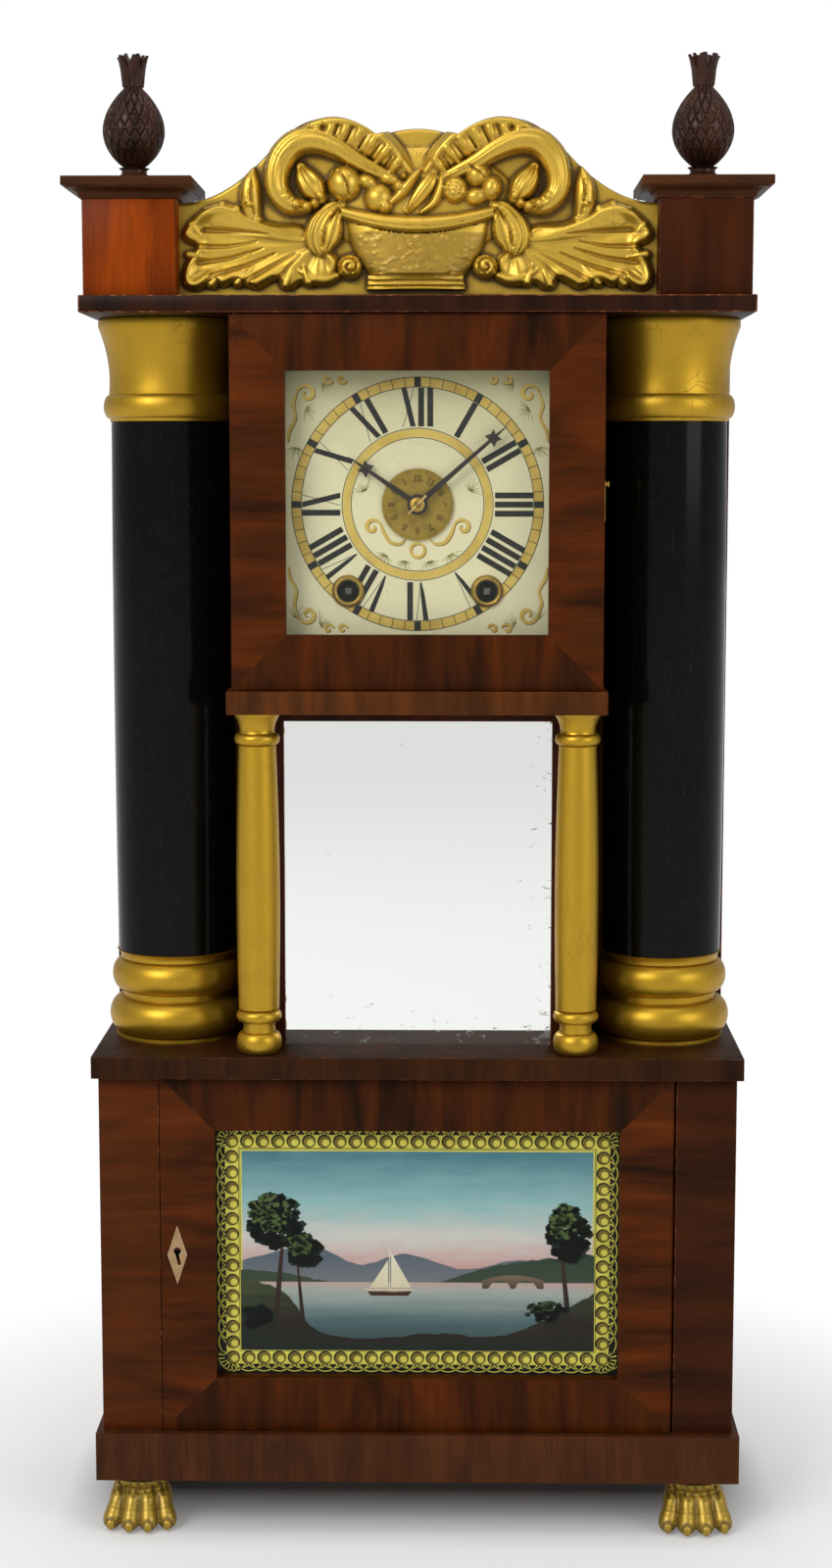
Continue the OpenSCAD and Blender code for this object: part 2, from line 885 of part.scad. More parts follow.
crest_steps = 60;

module splat_board() {
    facing([0, top_z], splat_d + splat_t)
        linear_extrude(splat_t)
            polygon(concat(
                [[-splat_half, 0]],
                [for (i = [-crest_steps:crest_steps])
                    let (x = splat_half * i / crest_steps) [x, crest_edge(abs(x))]],
                [[splat_half, 0]]
            ));
}

// A carved lobe that swells from one ball to another, in the plane of the board
module lobe(a, ra, b, rb, sunk = 0) {
    hull() {
        translate([a[0], a[1], -sunk])
            sphere(r = ra, $fn = 14);
        translate([b[0], b[1], -sunk])
            sphere(r = rb, $fn = 14);
    }
}

// A curling horn: balls along an arc that swell towards its crown
horn_middle = [56, 76];
horn_r = 23;
horn_start = 205;
horn_turn = 225;
horn_steps = 7;
function horn_at(i) = horn_middle + polar(horn_r, horn_start - horn_turn * i / horn_steps);
function horn_swell(i) = 5 + 4 * sin(180 * i / horn_steps);

module horn() {
    for (i = [0:horn_steps - 1])
        lobe(horn_at(i), horn_swell(i), horn_at(i + 1), horn_swell(i + 1), 2);
}

// The basket: a bowl on a foot, a rim and fruit, and leaves that spread from each of its sides
bowl_foot = [28, 4, 10];
bowl_foot_t = 9;
bowl_r = [24, 46];
bowl_z = [14, 50];
bowl_flat = 0.32;
rim_over = 3;
rim_h = 7;
fruit_pitch = 14;
fruit_r = 9;
fruit_z = 60;
frond_root = [58, 28];
frond_root_swell = 9;
frond_tip_swell = 4.5;
frond_tips = [[140, 50], [145, 34], [143, 16], [118, 9], [92, 8], [66, 9], [110, 58]];
stalk = [[50, 50], [56, 30]];
scroll_at = [44, 20];
scroll_r = 6;
relief = 16;

module splat() {
    color(gilt) {
        splat_board();
        intersection() {
            facing([0, top_z], splat_d)
                union() {
                    basket();
                    for (side = [0, 1])
                        mirror([side, 0, 0])
                            crest_side();
                }
            block(-splat_half, splat_half, splat_d - relief, splat_d + splat_t / 2,
                top_z, top_z + splat_hump_h);
        }
    }
}

module basket() {
    translate([0, bowl_z[0], 0])
        intersection() {
            scale([1, 1, bowl_flat])
                rotate([-90, 0, 0])
                    cylinder(r1 = bowl_r[0], r2 = bowl_r[1], h = bowl_z[1] - bowl_z[0], $fn = 40);
            translate([-bowl_r[1], 0, 0])
                cube([2 * bowl_r[1], bowl_z[1], relief]);
        }
    translate([-bowl_foot[0], bowl_foot[1], 0])
        cube([2 * bowl_foot[0], bowl_foot[2], bowl_foot_t]);
    translate([0, bowl_z[1] - rim_over, 0])
        scale([1, 1, bowl_flat])
            rotate([-90, 0, 0])
                cylinder(r = bowl_r[1] + rim_over, h = rim_h, $fn = 40);
    for (i = [-2:2])
        translate([i * fruit_pitch, fruit_z - 0.8 * i * i, 1])
            sphere(r = fruit_r, $fn = 18);
}

module crest_side() {
    horn();
    for (tip = frond_tips)
        lobe(frond_root, frond_root_swell, tip, frond_tip_swell, 1);
    lobe(stalk[0], 7, stalk[1], 5);
    translate([scroll_at[0], scroll_at[1], 0])
        sphere(r = scroll_r, $fn = 18);
}

// Doors

// Plan of a door, with a round edge about the hinge pin on the given side
module door_plan(half, side) {
    axis = side * (half - hinge_inset);
    translate([min(-side * half, axis), 0])
        square([2 * half - hinge_inset, door_t]);
    translate([min(axis, side * half), hinge_inset])
        square([hinge_inset, door_t - hinge_inset]);
    translate([axis, hinge_inset])
        circle(r = hinge_inset);
}

// A veneered frame with an opening, and a rebate behind it for the glass
module door_frame(half, d, z0, z1, side, rail) {
    axis = side * (half - hinge_inset);
    difference() {
        translate([0, y_at(d), z0])
            linear_extrude(z1 - z0)
                door_plan(half, side);
        block(-half + rail, half - rail, d - over, d + door_t + over, z0 + rail, z1 - rail);
        block(-half + rail - rebate, half - rail + rebate, d + door_t - glass_pocket,
            d + door_t + over, z0 + rail - rebate, z1 - rail + rebate);
        bar_up(axis, d + hinge_inset, z0 - over, z0 + hinge_pin_seat, hinge_pin_r + pin_play);
        bar_up(axis, d + hinge_inset, z1 - hinge_pin_seat, z1 + over, hinge_pin_r + pin_play);
    }
}

module door_glass(half, d, z0, z1, rail) {
    block(-half + rail - rebate, half - rail + rebate, d + door_t - glass_pocket,
        d + door_t - glass_pocket + glass_t, z0 + rail - rebate, z1 - rail + rebate);
}

module dial_door_frame() {
    color(mahogany)
        difference() {
            door_frame(dial_door_half, dial_door_d, dial_door_z0, dial_door_z1, -1, dial_rail);
            translate([dial_door_half - catch_eye_root, y_at(catch_pin_d), catch_z])
                rotate([0, 90, 0])
                    cylinder(r = catch_r, h = catch_eye_root + over);
        }
}

module dial_door_glass() {
    color(glass)
        door_glass(dial_door_half, dial_door_d, dial_door_z0, dial_door_z1, dial_rail);
}

// A stud in the door's edge, with a small head that keeps the hook on
module catch_eye() {
    color(brass)
        translate([dial_door_half - catch_eye_root, y_at(catch_pin_d), catch_z])
            rotate([0, 90, 0]) {
                cylinder(r = catch_r, h = catch_eye_root + catch_gap + catch_t + clear);
                translate([0, 0, catch_eye_root + catch_gap + catch_t + clear])
                    cylinder(r = catch_r + 0.8, h = catch_head_t);
            }
}

// The hook hangs open from its stud; raised, its notch drops over the stud in the door
module catch_hook() {
    reach = catch_pivot_d - catch_pin_d;
    eye_r = 2.8;
    hook_w = 2.4;
    notch_r = catch_r + catch_play;
    color(brass)
        translate([catch_x, y_at(catch_pivot_d), catch_z]) {
            difference() {
                union() {
                    rotate([0, 90, 0])
                        cylinder(r = eye_r, h = catch_t);
                    translate([0, -hook_w / 2, -reach])
                        cube([catch_t, hook_w, reach]);
                    translate([0, 0, -reach])
                        rotate([0, 90, 0])
                            cylinder(r = eye_r, h = catch_t);
                }
                translate([-over, 0, -reach])
                    rotate([0, 90, 0])
                        cylinder(r = notch_r, h = catch_t + 2 * over);
                translate([-over, 0, -reach - notch_r])
                    cube([catch_t + 2 * over, 2 * eye_r, 2 * notch_r]);
            }
            translate([trunk_inner - catch_x, 0, 0])
                rotate([0, 90, 0])
                    cylinder(r = catch_r, h = catch_x - trunk_inner + catch_t + catch_gap);
        }
}

module door_hinge_pins() {
    color(iron) {
        bar_up(low_pin_x, low_pin_d, base_z - hinge_pin_seat,
            low_door_z0 + hinge_pin_seat - hinge_pin_gap, hinge_pin_r);
        bar_up(low_pin_x, low_pin_d, low_door_z1 - hinge_pin_seat + hinge_pin_gap,
            ledge_z + hinge_pin_seat, hinge_pin_r);
        bar_up(dial_pin_x, dial_pin_d, box_z - hinge_pin_seat,
            dial_door_z0 + hinge_pin_seat - hinge_pin_gap, hinge_pin_r);
        bar_up(dial_pin_x, dial_pin_d, dial_door_z1 - hinge_pin_seat + hinge_pin_gap,
            shelf_z + hinge_pin_seat, hinge_pin_r);
    }
}

module lower_door_frame() {
    color(mahogany)
        difference() {
            door_frame(low_door_half, stile_setback, low_door_z0, low_door_z1, 1, low_rail);
            lock_pocket();
            block(-low_door_half - over, lock_x, bolt_d0 - bolt_play, bolt_d0 + bolt_t + bolt_play,
                bolt_z0 - bolt_play, bolt_z0 + bolt_h + bolt_play);
            bar([lock_x, lock_z], stile_setback - over, low_door_back_d, keyhole_r);
        }
}

module lock_pocket() {
    block(lock_x0, lock_x0 + lock_w, low_door_back_d - lock_t, low_door_back_d + over,
        lock_z - lock_h / 2, lock_z + lock_h / 2);
}

module tablet_glass() {
    color([0.35, 0.5, 0.5])
        door_glass(low_door_half, stile_setback, low_door_z0, low_door_z1, low_rail);
}

// A diamond plate with a keyhole: a round head over a slanted slot
module escutcheon() {
    plate_half = 6.3;
    plate_reach = 19.2;
    plate = 0.8;
    head_r = 2.5;
    slot_w = 2.4;
    slot_foot = -7;
    slot_lean = 12;
    color(bone)
        facing([lock_x, lock_z], stile_setback)
            linear_extrude(plate)
                difference() {
                    polygon([[-plate_half, 0], [0, plate_reach], [plate_half, 0], [0, -plate_reach]]);
                    translate([0, head_r])
                        circle(r = head_r);
                    rotate(slot_lean)
                        translate([-slot_w / 2, slot_foot])
                            square([slot_w, head_r - slot_foot]);
                }
}

// The lock is let into the back of the door, with a drill pin for the key and a way for the bolt
module lock_case() {
    color(iron) {
        difference() {
            block(lock_x0, lock_x0 + lock_w, low_door_back_d - lock_t, low_door_back_d,
                lock_z - lock_h / 2, lock_z + lock_h / 2);
            block(lock_x0 - over, bolt_x0 + bolt_len + 0.5, bolt_d0 - bolt_play,
                bolt_d0 + bolt_t + bolt_play, bolt_z0 - bolt_play, bolt_z0 + bolt_h + bolt_play);
            bar([lock_x, key_z], low_door_back_d - lock_t - over, low_door_back_d - lock_wall,
                key_room_r);
        }
        bar([lock_x, key_z], low_door_back_d - lock_t, low_door_back_d - lock_wall / 2, key_pin_r);
    }
}

module lock_bolt() {
    color(brass)
        block(bolt_x0, bolt_x0 + bolt_len, bolt_d0, bolt_d0 + bolt_t, bolt_z0, bolt_z0 + bolt_h);
}

// Dial and hands

module dial() {
    color(cream)
        difference() {
            block(-trunk_inner, trunk_inner, dial_d, dial_d + dial_t, box_z, shelf_z);
            bar([-wind_x, wind_z], dial_d - over, dial_d + dial_t + over, wind_r + 1);
            bar([wind_x, wind_z], dial_d - over, dial_d + dial_t + over, wind_r + 1);
            bar(centre_arbor, dial_d - over, dial_d + dial_t + over, alarm_pipe_r + clear);
        }
}

// A brass sleeve through the dial with a rolled rim in front
module winding_grommets() {
    rim = 3.8;
    flange_t = 0.8;
    roll_r = 1.6;
    color(brass)
        both()
            facing([wind_x, wind_z], dial_d + dial_t)
                difference() {
                    union() {
                        cylinder(r = wind_r + 1, h = dial_t);
                        translate([0, 0, dial_t])
                            cylinder(r = wind_r + rim, h = flange_t);
                        translate([0, 0, dial_t + roll_r])
                            rotate_extrude()
                                translate([wind_r + rim / 2, 0])
                                    circle(r = roll_r);
                    }
                    translate([0, 0, -over])
                        cylinder(r = wind_r, h = dial_t + 2 * roll_r + 2 * over);
                }
}

// A tapered hand with a cross and a pointed tip, drawn upright
module hand_outline(reach) {
    cross = reach - 15;
    polygon([
        [-1.9, 4], [-1.1, cross - 2], [-4.6, cross - 2.4], [-3, cross + 1.4], [-4.2, cross + 4.6],
        [-0.9, cross + 3.6], [0, reach], [0.9, cross + 3.6], [4.2, cross + 4.6], [3, cross + 1.4],
        [4.6, cross - 2.4], [1.1, cross - 2], [1.9, 4]
    ]);
}

module hand_blade(reach, angle, eye_r, bore_r) {
    linear_extrude(hand_t)
        difference() {
            union() {
                rotate(-angle)
                    hand_outline(reach);
                circle(r = eye_r);
            }
            circle(r = bore_r);
        }
}

// A wheel's outline: slim teeth with straight flanks and a narrowed tip, one tooth at angle 0
module teeth_outline(count, modulus, root, tip, share, tip_share) {
    r = count * modulus / 2;
    step = 360 / count;
    polygon([for (i = [0:count - 1])
        let (a = i * step)
        each [polar(r - root * modulus, a - share * step / 2), polar(r, a - share * step / 2),
            polar(r + tip * modulus, a - tip_share * step / 2),
            polar(r + tip * modulus, a + tip_share * step / 2),
            polar(r, a + share * step / 2), polar(r - root * modulus, a + share * step / 2)]]);
}

wheel_root = 1.25;
wheel_tip = 0.9;
wheel_share = 0.38;
wheel_tip_share = 0.14;
leaf_root = 1.35;
leaf_tip = 0.55;
leaf_share = 0.32;
leaf_tip_share = 0.16;

module wheel_outline(count, modulus) {
    teeth_outline(count, modulus, wheel_root, wheel_tip, wheel_share, wheel_tip_share);
}

module leaf_outline(count, modulus) {
    teeth_outline(count, modulus, leaf_root, leaf_tip, leaf_share, leaf_tip_share);
}

// A wheel on its arbor: its tooth points along the bearing, where a pinion meshes with it
module wheel(at, d, count, modulus, toward, bore_r, t = wheel_t) {
    facing(at, d + t)
        difference() {
            linear_extrude(t)
                rotate(toward)
                    wheel_outline(count, modulus);
            translate([0, 0, -over])
                cylinder(r = bore_r, h = t + 2 * over);
        }
}

// A pinion on its arbor: a gap points along the bearing, where a wheel meshes with it
module pinion(at, d, count, modulus, toward, t) {
    facing(at, d + t)
        linear_extrude(t)
            rotate(toward + 180 / count)
                leaf_outline(count, modulus);
}

// How deep a wooden wheel or pinion sits round its arbor or pipe
seat = 0.5;

module minute_hand() {
    eye_r = 6.2;
    collet = [4.2, 3.4, 1.6];
    color(ebony)
        facing(centre_arbor, minute_d + hand_t)
            hand_blade(minute_len, minute_angle, eye_r, arbor_r + pin_play);
    color(brass) {
        facing(centre_arbor, minute_d)
            difference() {
                cylinder(r1 = collet[0], r2 = collet[1], h = collet[2]);
                translate([0, 0, -over])
                    cylinder(r = arbor_r + pin_play, h = collet[2] + 2 * over);
            }
        difference() {
            bar(centre_arbor, minute_d + hand_t, cannon_d + wheel_t, minute_pipe_r);
            bar(centre_arbor, minute_d, cannon_d + wheel_t + over, arbor_r + pin_play);
        }
    }
    color(pine)
        difference() {
            pinion(centre_arbor, cannon_d, cannon_leaves, motion_module, motion_angle, wheel_t);
            bar(centre_arbor, cannon_d - over, cannon_d + wheel_t + over, minute_pipe_r - seat);
        }
}

module hour_hand() {
    bore_r = minute_pipe_r + pin_play;
    eye_r = 6.5;
    color(ebony)
        facing(centre_arbor, hour_d + hand_t)
            hand_blade(hour_len, hour_angle, eye_r, bore_r);
    color(brass)
        difference() {
            bar(centre_arbor, hour_d + hand_t, hour_wheel_d + wheel_t, hour_pipe_r);
            bar(centre_arbor, hour_d, hour_wheel_d + wheel_t + over, bore_r);
        }
    color(pine)
        wheel(centre_arbor, hour_wheel_d, hour_teeth, hour_module, motion_angle,
            hour_pipe_r - seat);
}

module motion_wheel() {
    hub_r = motion_stud_r + 1.5;
    color(pine)
        difference() {
            union() {
                wheel(motion_stud, cannon_d, motion_teeth, motion_module, motion_angle + 180,
                    hub_r - seat);
                pinion(motion_stud, hour_wheel_d, motion_leaves, hour_module,
                    motion_angle + 180, cannon_d - hour_wheel_d);
                bar(motion_stud, hour_wheel_d, cannon_d + wheel_t, hub_r);
            }
            bar(motion_stud, hour_wheel_d - over, cannon_d + wheel_t + over,
                motion_stud_r + pin_play);
        }
}

module alarm_disc() {
    bore_r = hour_pipe_r + pin_play;
    alarm_end_d = dial_d + dial_t + alarm_pipe_len;
    color(brass)
        difference() {
            union() {
                bar(centre_arbor, alarm_d - alarm_t, alarm_d, alarm_r);
                bar(centre_arbor, alarm_d, alarm_end_d, alarm_pipe_r);
            }
            bar(centre_arbor, alarm_d - alarm_t - over, alarm_end_d + over, bore_r);
        }
}

// Movement

module movement_plates() {
    color(pine) {
        difference() {
            block(-trunk_inner, trunk_inner, plate_d, plate_back_d, plate_z0, plate_z1);
            arbor_holes(plate_d);
        }
        difference() {
            block(-trunk_inner, trunk_inner, rear_plate_d, movement_back_d, plate_z0, plate_z1);
            arbor_holes(rear_plate_d);
        }
    }
    color(iron) {
        bar(motion_stud, hour_wheel_d - stud_end, plate_d, motion_stud_r);
        bar(pendulum_stud, pendulum_d - pendulum_ring_t / 2 - stud_end, plate_d, stud_r);
        bar([hammer_x, hammer_z], movement_back_d, hammer_d + hammer_hub_t + stud_end, stud_r);
    }
}

module arbor_holes(d) {
    for (at = [centre_arbor, third_arbor, escape_arbor, verge_arbor, strike_second])
        bar(at, d - over, d + plate_t + over, arbor_r + pin_play);
    for (at = [time_arbor, strike_arbor])
        bar(at, d - over, d + plate_t + over, drum_arbor_r + pin_play);
}

module movement_pillars() {
    color(pine)
        for (x = [-pillar_x, pillar_x])
            for (z = [plate_z0 + pillar_inset, plate_z1 - pillar_inset])
                bar([x, z], plate_back_d, rear_plate_d, pillar_r);
}

// A drum between two flanges, with an arbor that ends in a square behind the dial
module drum(at) {
    color(pine)
        difference() {
            union() {
                bar(at, drum_front_d, drum_front_d + drum_len, drum_r);
                bar(at, drum_front_d, drum_front_d + drum_flange_t, drum_flange_r);
                bar(at, drum_front_d + drum_len - drum_flange_t, drum_front_d + drum_len,
                    drum_flange_r);
            }
            bar(at, drum_front_d - over, drum_front_d + drum_len + over, drum_arbor_r);
        }
    color(iron) {
        bar(at, square_end_d + square_len, movement_back_d, drum_arbor_r);
        block(at[0] - square_w / 2, at[0] + square_w / 2, square_end_d, square_end_d + square_len,
            at[1] - square_w / 2, at[1] + square_w / 2);
    }
}

module time_great_wheel() {
    color(pine)
        wheel(time_arbor, time_wheel_d, great_teeth, great_module,
            bearing(time_arbor, centre_arbor), drum_arbor_r + pin_play);
}

module strike_great_wheel() {
    color(pine)
        wheel(strike_arbor, strike_wheel_d, strike_teeth, strike_module,
            bearing(strike_arbor, strike_second), drum_arbor_r + pin_play);
}

// The centre arbor carries its wheel and pinion, and passes the dial to turn in the hands' pipe
module centre_wheel() {
    color(pine) {
        wheel(centre_arbor, centre_wheel_d, centre_teeth, centre_module,
            bearing(centre_arbor, third_arbor), arbor_r - seat);
        pinion(centre_arbor, time_wheel_d - leaf_over, centre_leaves, great_module,
            bearing(centre_arbor, time_arbor), wheel_t + 2 * leaf_over);
    }
    color(iron)
        bar(centre_arbor, minute_d - centre_end, movement_back_d, arbor_r);
}

module third_wheel() {
    color(pine) {
        wheel(third_arbor, third_wheel_d, third_teeth, third_module,
            bearing(third_arbor, escape_arbor), arbor_r - seat, third_t);
        pinion(third_arbor, centre_wheel_d - leaf_over, third_leaves, centre_module,
            bearing(third_arbor, centre_arbor), wheel_t + 2 * leaf_over);
    }
    color(iron)
        bar(third_arbor, plate_d, movement_back_d, arbor_r);
}

module escape_wheel() {
    color(pine)
        pinion(escape_arbor, third_wheel_d - leaf_over, escape_leaves, third_module,
            bearing(escape_arbor, third_arbor), third_t + 2 * leaf_over);
    color(brass)
        facing(escape_arbor, escape_wheel_d + escape_t)
            linear_extrude(escape_t)
                polygon([for (i = [0:escape_teeth - 1])
                    let (a = i * 360 / escape_teeth)
                    each [polar(escape_r - escape_tooth_h, a), polar(escape_r, a + 1.5),
                        polar(escape_r, a + 2.3), polar(escape_r - escape_tooth_h, a + 4)]]);
    color(iron)
        bar(escape_arbor, plate_d, movement_back_d, arbor_r);
}

// The verge's pallets stand just clear of the escape wheel; its crutch holds the pendulum rod
module verge() {
    pallet_angle = 35;
    pallet_gap = 1.5;
    pallet_w = 4;
    arm_len = 21;
    arm_w = 3.6;
    arm_spread = 45;
    hub_r = 4.5;
    prong_t = 1;
    prong_x = pendulum_rod_r + 0.9;
    prong_h = 3;
    prong_d = pendulum_d - pendulum_rod_r - 1.5;
    strip_t = 2;
    strip_d = plate_d - 3;
    crutch_z = verge_arbor[1] - crutch_reach;
    color(iron) {
        facing(escape_arbor, escape_wheel_d + escape_t)
            linear_extrude(escape_t)
                for (side = [-1, 1])
                    rotate(90 + side * pallet_angle)
                        translate([escape_r + pallet_gap, -pallet_w / 2])
                            square(pallet_w);
        facing(verge_arbor, escape_wheel_d + escape_t)
            linear_extrude(escape_t)
                difference() {
                    union() {
                        circle(r = hub_r);
                        for (side = [-1, 1])
                            rotate(side * arm_spread - 90)
                                translate([0, -arm_w / 2])
                                    square([arm_len, arm_w]);
                    }
                    circle(r = arbor_r - seat);
                    translate(escape_arbor - verge_arbor)
                        circle(r = escape_r + pallet_gap);
                }
        bar(verge_arbor, strip_d + strip_t, movement_back_d, arbor_r);
        for (side = [-1, 1])
            block(verge_arbor[0] + side * prong_x - prong_t / 2,
                verge_arbor[0] + side * prong_x + prong_t / 2,
                prong_d, strip_d + strip_t, crutch_z, crutch_z + prong_h);
        block(verge_arbor[0] - prong_x - prong_t / 2, verge_arbor[0] + prong_x + prong_t / 2,
            strip_d, strip_d + strip_t, crutch_z, verge_arbor[1] + 1);
    }
}

// Wire rod with a ring on the stud, and a lens-shaped bob
module pendulum() {
    ring_wall = 1.4;
    ring_half = pendulum_ring_t / 2;
    edge_half = 1;
    bob_z = pendulum_stud[1] - pendulum_len;
    color(iron) {
        difference() {
            bar(pendulum_stud, pendulum_d - ring_half, pendulum_d + ring_half, stud_r + ring_wall);
            bar(pendulum_stud, pendulum_d - ring_half - over, pendulum_d + ring_half + over,
                stud_r + pin_play);
        }
        bar_up(pendulum_stud[0], pendulum_d, bob_z + bob_r - 2,
            pendulum_stud[1] - stud_r - ring_wall / 2, pendulum_rod_r);
    }
    color(brass)
        facing([pendulum_stud[0], bob_z], pendulum_d + bob_t / 2)
            rotate_extrude()
                polygon([[0, 0], [bob_r / 2, 0], [bob_r, bob_t / 2 - edge_half],
                    [bob_r, bob_t / 2 + edge_half], [bob_r / 2, bob_t], [0, bob_t]]);
}

module strike_drum() {
    drum(strike_arbor);
}

module time_drum() {
    drum(time_arbor);
}

module strike_pin_wheel() {
    pins = 8;
    pin_r = 1;
    pin_len = 4;
    pin_inset = 3;
    color(pine) {
        bar(strike_second, pin_wheel_d, pin_wheel_d + pin_wheel_t, pin_wheel_r);
        pinion(strike_second, strike_wheel_d - leaf_over, strike_leaves, strike_module,
            bearing(strike_second, strike_arbor), wheel_t + 2 * leaf_over);
    }
    color(iron) {
        bar(strike_second, plate_d, movement_back_d, arbor_r);
        for (i = [1:pins])
            bar(strike_second + polar(pin_wheel_r - pin_inset, i * 360 / pins),
                pin_wheel_d - pin_len, pin_wheel_d, pin_r);
    }
}

// Bell on a post from the backboard, and the hammer that hangs beside its rim
module bell() {
    rim_d = inner_back_d - 4;
    post_r = 2;
    nut_r = 4;
    nut_t = 3;
    crown_d = rim_d - bell_depth;
    color(iron)
        facing([bell_x, bell_z], rim_d)
            difference() {
                rotate_extrude()
                    polygon(concat(
                        [[bell_r - bell_wall, 0], [bell_r, 0]],
                        [for (a = [10:10:80]) [bell_r * cos(a), bell_depth * sin(a)]],
                        [[0, bell_depth], [0, bell_depth - bell_wall]],
                        [for (a = [80:-10:10])
                            [(bell_r - bell_wall) * cos(a), (bell_depth - bell_wall) * sin(a)]]
                    ));
                translate([0, 0, -over])
                    cylinder(r = post_r, h = bell_depth + 2 * over);
            }
    color(iron) {
        bar([bell_x, bell_z], crown_d, inner_back_d, post_r);
        bar([bell_x, bell_z], crown_d - nut_t, crown_d, nut_r);
    }
}

module strike_hammer() {
    hub_wall = 2;
    half_arm = hammer_arm_w / 2;
    color(iron) {
        difference() {
            bar([hammer_x, hammer_z], hammer_d, hammer_d + hammer_hub_t, stud_r + hub_wall);
            bar([hammer_x, hammer_z], hammer_d - over, hammer_d + hammer_hub_t + over,
                stud_r + pin_play);
        }
        block(hammer_x - half_arm, hammer_x + half_arm, hammer_d, hammer_d + hammer_arm_w,
            bell_z, hammer_z - stud_r - hub_wall / 2);
        translate([hammer_x - hammer_head_len / 2, y_at(hammer_d + half_arm), bell_z])
            rotate([0, 90, 0])
                cylinder(r = hammer_head_r, h = hammer_head_len);
    }
}

// Weights, pulleys and lines

module weight(x) {
    color(iron)
        translate([x, y_at(col_d), weight_z]) {
            rotate_extrude()
                polygon([[0, 0], [weight_r - weight_edge, 0], [weight_r, weight_edge],
                    [weight_r, weight_h - weight_shoulder[1]],
                    [weight_r - weight_shoulder[0], weight_h], [0, weight_h]]);
            cylinder(r = weight_stem_r, h = weight_h + weight_stem_h);
        }
}

module pulley(x) {
    color(brass)
        translate([x, y_at(col_d), pulley_z])
            rotate([90, 0, 0]) {
                rotate_extrude()
                    polygon([[0, -pulley_half_t], [pulley_r, -pulley_half_t],
                        [pulley_r - pulley_groove, -pulley_groove_half],
                        [pulley_r - pulley_groove, pulley_groove_half],
                        [pulley_r, pulley_half_t], [0, pulley_half_t]]);
                translate([0, 0, -pulley_axle_half])
                    cylinder(r = pulley_axle_r, h = 2 * pulley_axle_half);
            }
}

// The stretch inside the column, which shortens as the weight rises
module fall_line(x) {
    color(pine)
        bar_up(x, col_d, fall_z, pulley_z, line_r);
}

// From the column's axis over the pulley and down to the drum, one side of the line's band
wrap_steps = 12;
function line_side(out) = concat(
    [for (i = [0:wrap_steps])
        [pulley_x, pulley_z] + polar(pulley_line_r + out, (line_lean + 90) * i / wrap_steps)],
    [[wind_x, wind_z] + polar(drum_line_r + out, line_lean + 90)]
);

module upper_lines() {
    outer = line_side(line_r);
    inner = line_side(-line_r);
    color(pine)
        both()
            translate([0, y_at(col_d) + line_r, 0])
                rotate([90, 0, 0])
                    linear_extrude(2 * line_r)
                        polygon(concat(outer, [for (i = [len(inner) - 1:-1:0]) inner[i]]));
}

// Pieces that have a left and a right copy

module paw_feet() {
    paw_foot(-foot_x);
    paw_foot(foot_x);
}

module left_column() { column(-col_x); }
module right_column() { column(col_x); }
module left_weight() { weight(-col_x); }
module right_weight() { weight(col_x); }
module left_pulley() { pulley(-pulley_x); }
module right_pulley() { pulley(pulley_x); }
module left_fall_line() { fall_line(-col_x); }
module right_fall_line() { fall_line(col_x); }

base_sides();
base_floor();
base_stiles();
base_moulding();
ledge();
backboard();
paw_feet();
rear_feet();
upper_sides();
shelf_board();
plinths();
plinth_caps();
finials();
splat();
left_column();
right_column();
column_bases();
column_capitals();
small_columns();
mirror_glass();
mirror_frame();
trunk_sides();
dial_box_floor();
dial();
winding_grommets();
movement_plates();
movement_pillars();
bell();
door_hinge_pins();
upper_lines();
catch_hook();
dial_door_frame();
dial_door_glass();
catch_eye();
lower_door_frame();
tablet_glass();
escutcheon();
lock_case();
lock_bolt();
left_weight();
right_weight();
time_drum();
strike_drum();
left_pulley();
right_pulley();
left_fall_line();
right_fall_line();
hour_hand();
minute_hand();
motion_wheel();
alarm_disc();
pendulum();
verge();
escape_wheel();
third_wheel();
centre_wheel();
time_great_wheel();
strike_great_wheel();
strike_pin_wheel();
strike_hammer();
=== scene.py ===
import json
import logging
import math
from dataclasses import dataclass
from enum import Enum
from typing import Callable, Iterator, Sequence

import bpy
import numpy as np
from mathutils import Matrix, Vector


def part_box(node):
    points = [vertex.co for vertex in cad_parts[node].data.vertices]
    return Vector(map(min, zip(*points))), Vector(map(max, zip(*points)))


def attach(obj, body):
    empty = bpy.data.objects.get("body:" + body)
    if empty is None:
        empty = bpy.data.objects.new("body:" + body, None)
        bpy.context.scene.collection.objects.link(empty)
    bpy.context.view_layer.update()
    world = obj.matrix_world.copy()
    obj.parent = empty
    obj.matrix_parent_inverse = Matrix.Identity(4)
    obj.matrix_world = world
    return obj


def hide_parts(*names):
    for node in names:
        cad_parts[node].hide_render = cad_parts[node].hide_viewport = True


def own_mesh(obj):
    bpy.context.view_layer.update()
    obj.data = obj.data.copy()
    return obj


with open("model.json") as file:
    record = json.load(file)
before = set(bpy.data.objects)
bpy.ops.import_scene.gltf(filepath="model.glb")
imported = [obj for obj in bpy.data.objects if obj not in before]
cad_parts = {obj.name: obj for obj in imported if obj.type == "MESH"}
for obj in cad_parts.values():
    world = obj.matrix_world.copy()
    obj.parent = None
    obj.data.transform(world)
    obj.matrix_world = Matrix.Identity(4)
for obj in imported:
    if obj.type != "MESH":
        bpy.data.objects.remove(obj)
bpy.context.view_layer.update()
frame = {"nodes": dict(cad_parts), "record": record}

log = logging.getLogger("shelf_clock")
MM = 0.001
MERGE = 1e-6  # points nearer than this are one, in metres
FLAT = 0.5  # faces whose directions differ by less than this are one, in degrees
SAWN = 30  # edges flatter than this are smoothed on sawn and plated pieces, in degrees
BEAD_STEPS = 14
PUNCH_CUTS = 16
